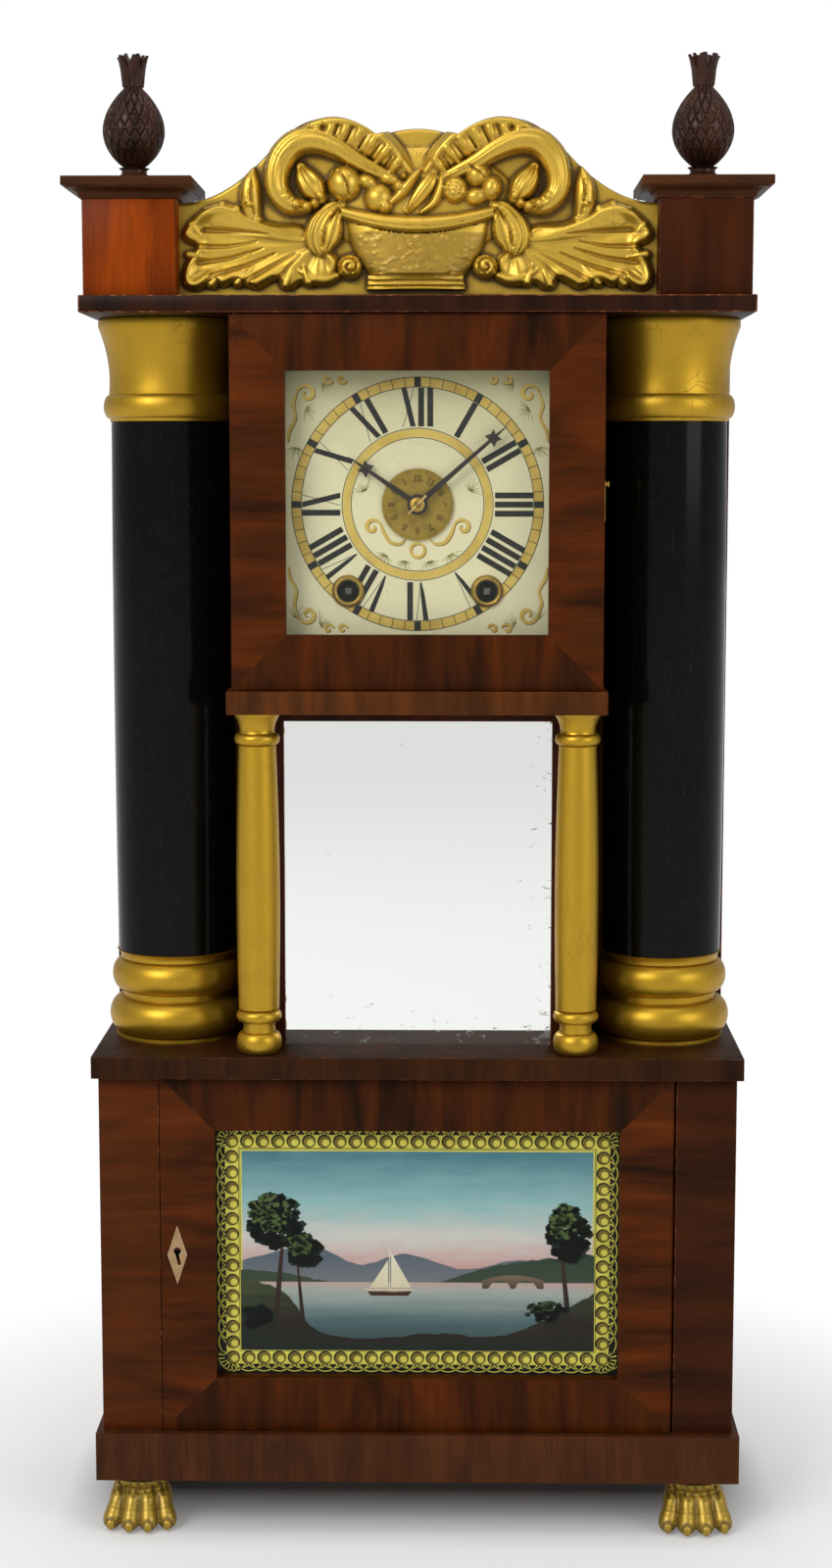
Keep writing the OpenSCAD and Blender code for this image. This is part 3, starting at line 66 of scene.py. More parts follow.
FRONT_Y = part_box("ledge")[0].y
LEDGE_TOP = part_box("ledge")[1].z / MM
SHELF_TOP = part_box("shelf_board")[1].z / MM
Outline = Sequence[tuple[float, float]]
Colour = tuple[float, float, float, float]


def at(across: float, back: float, up: float) -> Vector:
    """A place from millimetres: across from the middle, back from the ledge's front, up from the floor."""
    return Vector((across * MM, FRONT_Y + back * MM, up * MM))


def tone(red: int, green: int, blue: int) -> Colour:
    """A colour as it is seen, 0 to 255, turned into the light values that a shader takes.

    Args:
        red: Its red part, 0 to 255.
        green: Its green part.
        blue: Its blue part.

    Returns:
        The shader's colour.
    """
    parts = []
    for seen in (red, green, blue):
        share = seen / 255
        parts.append(share / 12.92 if share <= 0.04045 else ((share + 0.055) / 1.055) ** 2.4)
    return (*parts, 1.0)


class Axis(Enum):
    """The three directions of the case."""

    ACROSS = (1.0, 0.0, 0.0)
    DEEP = (0.0, 1.0, 0.0)
    UP = (0.0, 0.0, 1.0)


# Materials


class Wire:
    """A value in a material. An expression on it adds the Math nodes."""

    def __init__(self, recipe: "Recipe", socket: bpy.types.NodeSocket) -> None:
        """Keeps the socket and the recipe that it belongs to."""
        self.recipe = recipe
        self.socket = socket

    def maths(self, operation: str, *others: "Wire | float", swap: bool = False) -> "Wire":
        """Adds one Math node.

        Args:
            operation: The Math node's operation.
            others: The other operands.
            swap: Whether this value comes second.

        Returns:
            The node's result.
        """
        operands = [self, *others]
        if swap:
            operands.reverse()
        return self.recipe.node("ShaderNodeMath", {"operation": operation}, dict(enumerate(operands)))

    def __add__(self, other: "Wire | float") -> "Wire":
        """The sum."""
        return self.maths("ADD", other)

    def __sub__(self, other: "Wire | float") -> "Wire":
        """The difference."""
        return self.maths("SUBTRACT", other)

    def __rsub__(self, other: float) -> "Wire":
        """The difference from a number."""
        return self.maths("SUBTRACT", other, swap=True)

    def __mul__(self, other: "Wire | float") -> "Wire":
        """The product."""
        return self.maths("MULTIPLY", other)

    def __truediv__(self, other: "Wire | float") -> "Wire":
        """The quotient."""
        return self.maths("DIVIDE", other)

    __radd__ = __add__
    __rmul__ = __mul__

    def above(self, edge: float, soft: float) -> "Wire":
        """A mask that goes from 0 to 1 as the value passes an edge.

        Args:
            edge: Where the mask is 0.
            soft: How far past the edge it reaches 1.

        Returns:
            The mask.
        """
        return self.recipe.node(
            "ShaderNodeMapRange", {"clamp": True}, {0: self, 1: edge, 2: edge + soft, 3: 0.0, 4: 1.0}
        )


class Recipe:
    """A material in the making: its nodes and the shader that they feed."""

    def __init__(self, name: str) -> None:
        """Starts a material with a plain shader.

        Args:
            name: The material's name.
        """
        self.material = bpy.data.materials.new(name)
        self.material.use_nodes = True
        self.tree = self.material.node_tree
        self.shader = self.tree.nodes["Principled BSDF"]
        self.output = self.tree.nodes["Material Output"]
        self.place = self.node("ShaderNodeTexCoord", out="Object")

    def node(
        self, kind: str, settings: dict | None = None, inputs: dict | None = None, out: str | int = 0
    ) -> Wire:
        """Adds a node.

        Args:
            kind: The node's type.
            settings: Its settings; "stops" gives a ramp's stops as places and colours.
            inputs: Values or wires for its sockets, by name or number.
            out: The output that is wanted.

        Returns:
            That output.
        """
        made = self.tree.nodes.new(kind)
        for key, value in (settings or {}).items():
            if key == "stops":
                ramp = made.color_ramp.elements
                for index, (where, colour) in enumerate(value):
                    stop = ramp[index] if index < 2 else ramp.new(where)
                    stop.position, stop.color = where, colour
            else:
                setattr(made, key, value)
        for key, value in (inputs or {}).items():
            if isinstance(value, Wire):
                self.tree.links.new(value.socket, made.inputs[key])
            else:
                made.inputs[key].default_value = value
        return Wire(self, made.outputs[out])

    def stretched(self, stretch: Sequence[float], turn: Sequence[float] = (0, 0, 0)) -> Wire:
        """The object's own coordinates, in metres, stretched along its axes and turned."""
        return self.node("ShaderNodeMapping", {}, {"Vector": self.place, "Scale": stretch, "Rotation": turn})

    def noise(
        self, scale: float, detail: float = 3.0, stretch: Sequence[float] = (1, 1, 1),
        turn: Sequence[float] = (0, 0, 0), rough: float = 0.5, bend: float = 0.0,
    ) -> Wire:
        """Cloudy noise from 0 to 1.

        Args:
            scale: Spots to the metre.
            detail: Layers of finer noise.
            stretch: How much the coordinates are multiplied along each axis.
            turn: Turn of the coordinates, in radians.
            rough: Strength of the finer layers.
            bend: Distortion.

        Returns:
            The noise.
        """
        return self.node(
            "ShaderNodeTexNoise", {},
            {"Vector": self.stretched(stretch, turn), "Scale": scale, "Detail": detail,
             "Roughness": rough, "Distortion": bend},
        )

    def cells(self, scale: float, feature: str = "F1", out: str = "Distance") -> Wire:
        """Distance to the nearest point, or to the nearest edge, of scattered cells.

        Args:
            scale: Cells to the metre.
            feature: What is measured.
            out: The output that is wanted.

        Returns:
            The distance.
        """
        return self.node(
            "ShaderNodeTexVoronoi", {"feature": feature}, {"Vector": self.place, "Scale": scale}, out
        )

    def axis(self, name: str) -> Wire:
        """One of the object's coordinates, X, Y or Z, in metres."""
        return self.node("ShaderNodeSeparateXYZ", {}, {0: self.place}, name)

    def ramp(self, value: Wire, *stops: tuple[float, Colour]) -> Wire:
        """Colours along a value."""
        return self.node("ShaderNodeValToRGB", {"stops": stops}, {0: value})

    def mix(self, share: "Wire | float", first: "Wire | Colour", second: "Wire | Colour") -> Wire:
        """Mixes a share of the second colour into the first."""
        return self.node("ShaderNodeMix", {"data_type": "RGBA"}, {0: share, 6: first, 7: second}, 2)

    def chips(self, scale: float, size: float, patches: float, edge: float) -> Wire:
        """A mask of small spots, which come in patches.

        Args:
            scale: Spots to the metre.
            size: Share of the way between two spots that one fills.
            patches: Patches to the metre.
            edge: The value of the noise where a patch starts.

        Returns:
            The mask.
        """
        return self.cells(scale).maths("LESS_THAN", size) * self.noise(patches, 2).above(edge, 0.05)

    def cracks(self, scale: float, width: float, patches: Wire) -> Wire:
        """A mask of fine cracks round scattered cells, where the mask of patches is 1."""
        return (1.0 - self.cells(scale, "DISTANCE_TO_EDGE").above(0.0, width)) * patches

    def blend(self, share: Wire, first: Wire, second: Wire) -> bpy.types.Material:
        """Ends the material in a mix of two shaders.

        Args:
            share: How much of the second.
            first: The first shader.
            second: The second shader.

        Returns:
            The material.
        """
        mixed = self.node("ShaderNodeMixShader", {}, {0: share, 1: first, 2: second})
        self.tree.links.new(mixed.socket, self.output.inputs[0])
        return self.material

    def finish(
        self, bump: Wire | None = None, depth: float = 0.0, **looks: "Wire | float | Colour"
    ) -> bpy.types.Material:
        """Feeds the shader.

        Args:
            bump: Height from 0 to 1, if the surface has any.
            depth: What a height of 1 stands for, in millimetres.
            looks: Sockets of the shader, with _ for a space.

        Returns:
            The material.
        """
        if bump is not None:
            looks["Normal"] = self.node(
                "ShaderNodeBump", {}, {"Strength": 1.0, "Distance": depth * MM, "Height": bump}
            )
        for key, value in looks.items():
            socket = self.shader.inputs[key.replace("_", " ")]
            if isinstance(value, Wire):
                self.tree.links.new(value.socket, socket)
            else:
                socket.default_value = value
        return self.material


@dataclass(frozen=True)
class Wood:
    """A polished or bare wood, with its figure along the grain.

    Attributes:
        name: The material's name.
        light: Colour of the light figure.
        dark: Colour of the dark figure.
        grain: The direction of the grain.
        tilt: Turn of the grain about the depth axis, in degrees.
        rough: Roughness of the finish.
        polish: Weight of the polish over it.
        worn: Share of wear that bares the paler wood.
    """

    name: str
    light: Colour
    dark: Colour
    grain: Axis = Axis.UP
    tilt: float = 0.0
    rough: float = 0.34
    polish: float = 0.03
    worn: float = 0.0

    def make(self) -> bpy.types.Material:
        """Mixes the wood's material.

        Returns:
            The material.
        """
        recipe = Recipe(self.name)
        turn = (0.0, math.radians(self.tilt), 0.0)
        stretch = [1.0 - 0.93 * part for part in self.grain.value]
        fine = [1.0 - 0.985 * part for part in self.grain.value]
        patch = [1.0 - 0.8 * part for part in self.grain.value]
        streaks = recipe.noise(170, 5, stretch, turn, 0.6, 0.6)
        broad = recipe.noise(42, 3, patch, turn, 0.5, 0.8)
        pores = recipe.noise(1400, 2, fine, turn, 0.6).above(0.56, 0.12)
        share = (streaks * 0.35 + broad * 0.8).above(0.38, 0.4)
        colour = recipe.ramp(share, (0.0, self.dark), (1.0, self.light))
        colour = recipe.mix(pores * 0.35, colour, tone(20, 8, 4))
        haze = recipe.noise(9, 2)
        colour = recipe.mix(haze.above(0.45, 0.4) * 0.12, colour, self.light)
        if self.worn:
            bare = recipe.noise(150, 4, rough=0.65).above(0.66 - 0.2 * self.worn, 0.06)
            colour = recipe.mix(bare * 0.6, colour, tone(150, 92, 56))
        colour = recipe.mix(recipe.chips(420, 0.07, 60, 0.6) * 0.6, colour, tone(160, 120, 90))
        rough = self.rough + 0.16 * haze + 0.1 * pores
        height = 1.0 - pores * 0.6 - streaks * 0.3
        return recipe.finish(
            height, 0.05, Base_Color=colour, Roughness=rough, Coat_Weight=self.polish,
            Coat_Roughness=0.2, Specular_IOR_Level=0.05,
        )


@dataclass(frozen=True)
class Gilding:
    """Bronze paint and gilt, darker and duller where it is soiled, and in its hollows with patina and painted
    shade.

    Attributes:
        name: The material's name.
        gold: Colour of the clean gold.
        grime: Colour of the soiling in it, and of the shade painted into its hollows.
        carved: Whether the piece has a hollow attribute, which darkens it with patina and painted shade.
        rough: Roughness of the clean gold.
    """

    name: str
    gold: Colour
    grime: Colour
    carved: bool = False
    rough: float = 0.3

    def make(self) -> bpy.types.Material:
        """Mixes the gilt material.

        Returns:
            The material.
        """
        recipe = Recipe(self.name)
        clouds = recipe.noise(45, 5, rough=0.6)
        brush = recipe.noise(420, 3, (1, 1, 0.25))
        cracks = recipe.cracks(75, 0.012, recipe.noise(22, 2).above(0.56, 0.06))
        dirt_and_shade = clouds.above(0.5, 0.5) * 0.35
        # Carved pieces add their hollow attribute: patina in the crest's recesses and painted shade on the
        # basket's bowl and the paws.
        if self.carved:
            hollow = recipe.node("ShaderNodeAttribute", {"attribute_name": "hollow"}, {}, "Fac")
            dirt_and_shade = (dirt_and_shade + hollow).maths("MINIMUM", 1.0)
        colour = recipe.mix(dirt_and_shade, self.gold, self.grime)
        colour = recipe.mix(brush.above(0.5, 0.4) * 0.1, colour, tone(222, 190, 88))
        chips = recipe.chips(160, 0.05, 30, 0.57)
        colour = recipe.mix((cracks * 0.55 + chips * 0.8).maths("MINIMUM", 1.0), colour, tone(58, 34, 16))
        rough = self.rough + 0.14 * clouds + 0.22 * dirt_and_shade + 0.08 * brush
        height = brush * 0.25 + clouds * 0.5 - cracks * 0.8 - chips * 0.5
        return recipe.finish(
            height, 0.12, Base_Color=colour, Metallic=0.86 - 0.35 * dirt_and_shade, Roughness=rough,
            Coat_Weight=0.3 if self.carved else 0.05, Coat_Roughness=0.16,
        )


@dataclass(frozen=True)
class Lacquer:
    """A glossy paint with dust, hairlines and slow changes of tone.

    Attributes:
        name: The material's name.
        colour: The paint's colour.
        aged: The colour where it has aged.
        rough: Roughness of the paint.
        metal: Metallic share, for gold paint.
        shine: Specular level.
    """

    name: str
    colour: Colour
    aged: Colour
    rough: float = 0.12
    metal: float = 0.0
    shine: float = 0.2

    def make(self) -> bpy.types.Material:
        """Mixes the paint.

        Returns:
            The material.
        """
        recipe = Recipe(self.name)
        clouds = recipe.noise(60, 5, rough=0.6)
        hairs = recipe.noise(900, 2, (1, 1, 0.06)).above(0.66, 0.05)
        dust = recipe.noise(1600, 1).above(0.7, 0.04)
        colour = recipe.mix(clouds.above(0.42, 0.3), self.colour, self.aged)
        colour = recipe.mix((dust * 0.07).maths("MAXIMUM", hairs * 0.012), colour, tone(190, 180, 160))
        rough = self.rough + 0.08 * clouds + 0.12 * dust
        return recipe.finish(
            clouds + hairs * 0.3, 0.02, Base_Color=colour, Roughness=rough, Metallic=self.metal,
            Specular_IOR_Level=self.shine,
        )


@dataclass(frozen=True)
class Metal:
    """A plain metal with fine scratches and tarnish.

    Attributes:
        name: The material's name.
        clean: Colour of the clean metal.
        tarnish: Colour of the tarnish.
        rough: Roughness of the clean metal.
        metal: Metallic share.
    """

    name: str
    clean: Colour
    tarnish: Colour
    rough: float = 0.28
    metal: float = 1.0

    def make(self) -> bpy.types.Material:
        """Mixes the metal.

        Returns:
            The material.
        """
        recipe = Recipe(self.name)
        clouds = recipe.noise(110, 5, rough=0.65)
        scratch = recipe.noise(1500, 2, (1, 1, 0.08))
        colour = recipe.mix(clouds.above(0.42, 0.3) * 0.8, self.clean, self.tarnish)
        rough = self.rough + 0.25 * clouds + 0.1 * scratch
        return recipe.finish(
            scratch * 0.4 + clouds * 0.6, 0.03, Base_Color=colour, Metallic=self.metal, Roughness=rough
        )


@dataclass(frozen=True)
class DialGround:
    """The dial's old oil ground: cream green, with fine age cracks; painted yellower and darker towards its
    top, for the shade that the door frame casts there.
    """

    name: str = "dial_ground"

    def make(self) -> bpy.types.Material:
        """Mixes the ground.

        Returns:
            The material.
        """
        recipe = Recipe(self.name)
        low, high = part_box("dial")[0].z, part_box("dial")[1].z
        height = (recipe.axis("Z") - low) / (high - low)
        # Painted shade: the ramp darkens the ground towards its top.
        colour = recipe.ramp(
            height + 0.08 * recipe.noise(18, 3) - 0.04,
            (0.0, tone(228, 219, 178)), (0.3, tone(237, 227, 187)),
            (0.62, tone(231, 221, 180)), (0.95, tone(186, 178, 132)),
        )
        clouds = recipe.noise(35, 6, rough=0.65)
        colour = recipe.mix(clouds.above(0.5, 0.3) * 0.3, colour, tone(192, 184, 140))
        cracks = recipe.cracks(210, 0.02, recipe.noise(26, 2).above(0.48, 0.15))
        colour = recipe.mix(cracks * 0.3, colour, tone(120, 108, 78))
        colour = recipe.mix(recipe.chips(110, 0.06, 40, 0.56) * 0.5, colour, tone(120, 100, 66))
        return recipe.finish(
            clouds * 0.5 - cracks, 0.04, Base_Color=colour, Roughness=0.42 + 0.15 * clouds,
            Coat_Weight=0.15, Coat_Roughness=0.3,
        )


@dataclass(frozen=True)
class Pane:
    """Clear glass, seen by its reflections and a faint film of dust.

    Attributes:
        name: The material's name.
        film: Share of the dust that is seen.
    """

    name: str
    film: float = 0.012

    def make(self) -> bpy.types.Material:
        """Mixes the glass.

        Returns:
            The material.
        """
        recipe = Recipe(self.name)
        waves = recipe.noise(14, 2)
        dust = recipe.noise(70, 5, rough=0.7).above(0.5, 0.4)
        recipe.finish(
            waves, 0.15, Base_Color=recipe.mix(dust, tone(225, 232, 226), tone(205, 205, 196)),
            Roughness=0.02 + 0.05 * dust, Specular_IOR_Level=0.5,
        )
        clear = recipe.node("ShaderNodeBsdfTransparent", {}, {0: tone(254, 255, 254)})
        edge = recipe.node("ShaderNodeFresnel", {}, {"IOR": 1.45})
        share = (edge * 0.45 + dust * self.film).maths("MINIMUM", 1.0)
        return recipe.blend(share, clear, Wire(recipe, recipe.shader.outputs[0]))


@dataclass(frozen=True)
class Silvering:
    """Old mirror glass: bright, with foxing near its right and lower edges."""

    name: str = "silvered_glass"

    def make(self) -> bpy.types.Material:
        """Mixes the mirror.

        Returns:
            The material.
        """
        recipe = Recipe(self.name)
        low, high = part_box("mirror_glass")
        right = (recipe.axis("X") / high.x).above(0.7, 0.3)
        foot = (1.0 - (recipe.axis("Z") - low.z) / (high.z - low.z)).above(0.8, 0.25)
        spots = recipe.noise(260, 5, (0.5, 1, 1), rough=0.7) + 0.13 * right + 0.1 * foot
        foxing = spots.above(0.69, 0.06)
        colour = recipe.mix(foxing * 0.75, tone(244, 245, 243), tone(120, 112, 96))
        return recipe.finish(
            recipe.noise(6, 1), 0.1, Base_Color=colour, Metallic=1.0 - 0.35 * foxing,
            Roughness=0.03 + 0.4 * foxing,
        )


@dataclass(frozen=True)
class Brushwork:
    """Paint laid on the back of a glass, with soft changes from one colour to the next.

    Attributes:
        name: The material's name.
        stops: Colours from the low to the high end of the painted place.
        low: Height of the low end, in millimetres.
        high: Height of the high end, in millimetres.
        stretch: How the brush marks are stretched.
        spread: How far the marks move the colours.
    """

    name: str
    stops: tuple[tuple[float, Colour], ...]
    low: float
    high: float
    stretch: tuple[float, float, float] = (0.25, 1, 1)
    spread: float = 0.3

    def make(self) -> bpy.types.Material:
        """Mixes the painted surface.

        Returns:
            The material.
        """
        recipe = Recipe(self.name)
        marks = recipe.noise(150, 5, self.stretch, rough=0.6)
        height = (recipe.axis("Z") - self.low * MM) / ((self.high - self.low) * MM)
        colour = recipe.ramp(height + (marks - 0.5) * self.spread, *self.stops)
        fleck = recipe.noise(900, 2).above(0.64, 0.05)
        colour = recipe.mix(fleck * 0.12, colour, tone(30, 26, 20))
        return recipe.finish(marks, 0.03, Base_Color=colour, Roughness=0.45 + 0.15 * marks,
                             Specular_IOR_Level=0.1)


@dataclass(frozen=True)
class Cordage:
    """Laid flax line."""

    name: str = "laid_line"

    def make(self) -> bpy.types.Material:
        """Mixes the line.

        Returns:
            The material.
        """
        recipe = Recipe(self.name)
        twist = recipe.node(
            "ShaderNodeTexWave", {"wave_type": "BANDS", "bands_direction": "DIAGONAL"},
            {"Vector": recipe.place, "Scale": 380.0, "Distortion": 0.4},
        )
        colour = recipe.mix(twist, tone(146, 118, 76), tone(206, 184, 140))
        fuzz = recipe.noise(2500, 3)
        return recipe.finish(twist + fuzz * 0.4, 0.15, Base_Color=colour, Roughness=0.7 + 0.2 * fuzz)


# The materials that are made, by name.
MIXED: dict[str, bpy.types.Material] = {}


class Finish(Enum):
    """Every finish on the clock."""

    DOOR_RAIL = Wood("mahogany_rail", tone(82, 35, 4), tone(27, 12, 2))
    DOOR_STILE = Wood("mahogany_stile", tone(92, 40, 6), tone(32, 14, 3), Axis.ACROSS)
    SIDE = Wood("mahogany_side", tone(76, 32, 8), tone(34, 15, 5))
    # Paler worn wood on the eased edges, and partly a painted highlight along them.
    EDGE = Wood("worn_and_highlit_edge", tone(98, 50, 26), tone(46, 22, 11), Axis.ACROSS, rough=0.42, worn=0.6)
    SHELF = Wood("shelf_veneer", tone(54, 26, 12), tone(24, 12, 7))
    LEDGE = Wood("ledge_veneer", tone(62, 32, 11), tone(32, 16, 6))
    MOULDING = Wood("base_moulding_wood", tone(84, 45, 22), tone(50, 27, 13))
    LEFT_STILE = Wood("left_stile_wood", tone(92, 42, 10), tone(48, 23, 6), Axis.ACROSS)
    RIGHT_STILE = Wood("right_stile_wood", tone(66, 29, 9), tone(34, 16, 6), Axis.ACROSS)
    TRIM = Wood("trim_board_wood", tone(95, 50, 17), tone(52, 27, 9))
    CAP = Wood("cap_wood", tone(84, 46, 22), tone(46, 26, 13), Axis.ACROSS)
    ORANGE = Wood("orange_veneer", tone(160, 66, 4), tone(88, 32, 2), tilt=16)
    PLUM = Wood("plum_veneer", tone(72, 31, 8), tone(40, 17, 5))
    WALNUT = Wood("carved_walnut", tone(78, 46, 32), tone(28, 15, 10), rough=0.28, polish=0.25)
    PINE = Wood("bare_pine", tone(186, 142, 88), tone(142, 98, 54), rough=0.62, polish=0.0)
    PINE_ACROSS = Wood("pine_across", tone(180, 136, 84), tone(134, 92, 50), Axis.ACROSS, rough=0.62,
                       polish=0.0)
    # Painted shade: the plates are darker than bare oak, for the shade inside the closed case.
    OAK = Wood("shaded_oak_plate", tone(116, 82, 44), tone(76, 50, 24), rough=0.55, polish=0.0)
    CHERRY = Wood("cherry_wheel", tone(152, 88, 48), tone(108, 56, 28), rough=0.5, polish=0.05)
    GILT = Gilding("turned_gilt", tone(180, 142, 36), tone(88, 62, 12))
    CARVED_GILT = Gilding("carved_gilt", tone(200, 163, 56), tone(92, 66, 14), carved=True, rough=0.29)
    PAW_GILT = Gilding("paw_gilt", tone(172, 142, 52), tone(84, 64, 20), carved=True, rough=0.34)
    EBONIZED = Lacquer("ebonized_lacquer", tone(8, 8, 6), tone(12, 12, 10), rough=0.1, shine=0.1)
    DIAL = DialGround()
    DIAL_GOLD = Lacquer("dial_gold", tone(222, 190, 98), tone(196, 158, 66), rough=0.34, metal=0.15)
    DIAL_SHADE = Lacquer("dial_shade", tone(126, 92, 36), tone(150, 118, 62), rough=0.4)
    DIAL_SPRIG = Lacquer("dial_sprig", tone(164, 152, 88), tone(132, 124, 70), rough=0.45)
    DIAL_BLACK = Lacquer("dial_black", tone(24, 24, 22), tone(40, 38, 32), rough=0.38)
    GLASS = Pane("door_glass")
    TABLET_GLASS = Pane("tablet_pane", 0.006)
    MIRROR = Silvering()
    BRASS = Metal("old_brass", tone(186, 152, 70), tone(128, 100, 42))
    IRON = Metal("wrought_iron", tone(120, 114, 106), tone(72, 58, 46), rough=0.42)
    HAND_IRON = Metal("browned_iron", tone(52, 38, 33), tone(26, 18, 16), rough=0.36, metal=0.6)
    ALARM_BRASS = Metal("alarm_brass", tone(164, 136, 56), tone(116, 92, 34), rough=0.32)
    # Painted highlight on polished brass: the taper pin is paler than the collet, for its glint.
    PIN_BRASS = Metal("pin_brass", tone(232, 206, 138), tone(190, 160, 96), rough=0.24)
    BONE = Lacquer("cut_bone", tone(164, 132, 90), tone(120, 88, 54), rough=0.3, shine=0.4)
    # Painted highlight: a paler bone for the keyhole plate's eased edges.
    BONE_EDGE = Lacquer("bone_edge", tone(232, 214, 176), tone(206, 182, 140), rough=0.35, shine=0.4)
    # Painted shade: the dark outline behind the alarm's raised numbers.
    DARK_BRASS = Metal("number_shade_brass", tone(66, 48, 18), tone(42, 30, 11), rough=0.5)
    LINE = Cordage()
    YELLOW = Lacquer("border_yellow", tone(232, 222, 96), tone(214, 198, 72), rough=0.4, shine=0.1)
    OCHRE = Lacquer("border_ochre", tone(136, 120, 40), tone(98, 84, 28), rough=0.4, shine=0.1)
    BORDER_BLACK = Lacquer("border_black", tone(12, 11, 8), tone(18, 16, 11), rough=0.4, shine=0.1)

    def material(self) -> bpy.types.Material:
        """The finish's material, made the first time that it is asked for.

        Returns:
            The material.
        """
        name = self.value.name
        if name not in MIXED:
            MIXED[name] = self.value.make()
        return MIXED[name]


# Bench work


class Bench:
    """Blender's own tools, each used on one piece at a time."""

    @staticmethod
    def take(piece: bpy.types.Object | None = None, *others: bpy.types.Object) -> None:
        """Selects pieces and nothing else, the first of them active.

        Args:
            piece: The piece that becomes active, if any.
            others: Pieces selected with it.
        """
        if bpy.context.object and bpy.context.object.mode != "OBJECT":
            bpy.ops.object.mode_set(mode="OBJECT")
        bpy.ops.object.select_all(action="DESELECT")
        for each in (piece, *others):
            if each:
                each.select_set(True)
        bpy.context.view_layer.objects.active = piece

    @staticmethod
    def open(piece: bpy.types.Object, whole: bool = True) -> None:
        """Opens a piece in edit mode with all of it, or nothing, selected.

        Args:
            piece: The piece.
            whole: Whether all of it is selected.
        """
        Bench.take(piece)
        bpy.ops.object.mode_set(mode="EDIT")
        bpy.ops.mesh.select_mode(type="VERT")
        bpy.ops.mesh.select_all(action="SELECT" if whole else "DESELECT")

    @staticmethod
    def close() -> None:
        """Leaves edit mode."""
        bpy.ops.object.mode_set(mode="OBJECT")

    @staticmethod
    def modify(piece: bpy.types.Object, kind: str, **settings: object) -> None:
        """Puts a modifier on a piece and applies it.

        Args:
            piece: The piece.
            kind: The modifier's type.
            settings: Its settings.
        """
        Bench.take(piece)
        step = piece.modifiers.new(kind.lower(), kind)
        for key, value in settings.items():
            setattr(step, key, value)
        bpy.ops.object.modifier_apply(modifier=step.name)

    @staticmethod
    def smooth(piece: bpy.types.Object, degrees: float = 35) -> bpy.types.Object:
        """Smooths all edges flatter than an angle.

        Args:
            piece: The piece.
            degrees: The angle.

        Returns:
            The piece.
        """
        Bench.take(piece)
        bpy.ops.object.shade_smooth_by_angle(angle=math.radians(degrees))
        return piece

    @staticmethod
    def mesh(
        name: str, points: Sequence[Vector], faces: Sequence[Sequence[int]] = (),
        edges: Sequence[tuple[int, int]] = (),
    ) -> bpy.types.Object:
        """A new piece from points, faces and edges.

        Args:
            name: Its name.
            points: Its points.
            faces: Its faces, by their points.
            edges: Its edges, by their points.

        Returns:
            The piece.
        """
        data = bpy.data.meshes.new(name)
        data.from_pydata([tuple(point) for point in points], list(edges), list(faces))
        piece = bpy.data.objects.new(name, data)
        bpy.context.scene.collection.objects.link(piece)
        return piece

    @staticmethod
    def join(name: str, pieces: Sequence[bpy.types.Object]) -> bpy.types.Object:
        """Joins pieces into one of that name.

        Args:
            name: The name of the result.
            pieces: The pieces.

        Returns:
            The joined piece.
        """
        Bench.take(*pieces)
        if len(pieces) > 1:
            bpy.ops.object.join()
        pieces[0].name = pieces[0].data.name = name
        return pieces[0]

    @staticmethod
    def weld(piece: bpy.types.Object, merge: bool = True) -> None:
        """Turns a piece's faces outwards.

        Args:
            piece: The piece.
            merge: Whether its double points are merged first.
        """
        Bench.open(piece)
        if merge:
            bpy.ops.mesh.remove_doubles(threshold=MERGE)
        bpy.ops.mesh.normals_make_consistent(inside=False)
        Bench.close()

    @staticmethod
    def ease(piece: bpy.types.Object, width: float, slot: int = 1, corner: float = 50) -> None:
        """Rounds a piece's edges and gives them a finish of their own.

        Args:
            piece: The piece.
            width: Width of the rounded edges, in millimetres.
            slot: Slot of the edges' finish, or -1 for that of the faces beside them.
            corner: Edges sharper than this are rounded, in degrees.
        """
        Bench.modify(
            piece, "BEVEL", width=width * MM, segments=2, limit_method="ANGLE",
            angle_limit=math.radians(corner), material=slot,
        )

    @staticmethod
    def hollows(piece: bpy.types.Object, values: np.ndarray) -> None:
        """Notes how hollow each point of a piece lies, from 0 to 1, for its gilding, which is darkened there
        with patina and painted shade.
        """
        shade = piece.data.attributes.new("hollow", "FLOAT", "POINT")
        shade.data.foreach_set("value", values.astype(np.float32))

    @staticmethod
    def copy(node: str, name: str, side: int = 0) -> bpy.types.Object:
        """A clean copy of a node's mesh.

        Args:
            node: The node.
            name: The copy's name.
            side: -1 or 1 to keep only the left or right half of it.

        Returns:
            The copy, merged, with its flat faces whole.
        """
        source = frame["nodes"][node]
        piece = bpy.data.objects.new(name, source.data.copy())
        bpy.context.scene.collection.objects.link(piece)
        piece.data.name = name
        piece.data.materials.clear()
        Bench.open(piece)
        bpy.ops.mesh.customdata_custom_splitnormals_clear()
        bpy.ops.mesh.remove_doubles(threshold=MERGE)
        if side:
            bpy.ops.mesh.select_all(action="DESELECT")
            Bench.close()
            for vertex in piece.data.vertices:
                vertex.select = vertex.co.x * side < 0
            bpy.ops.object.mode_set(mode="EDIT")
            bpy.ops.mesh.delete(type="VERT")
            bpy.ops.mesh.select_all(action="SELECT")
        bpy.ops.mesh.dissolve_limited(angle_limit=math.radians(FLAT))
        bpy.ops.mesh.normals_make_consistent(inside=False)
        Bench.close()
        return piece

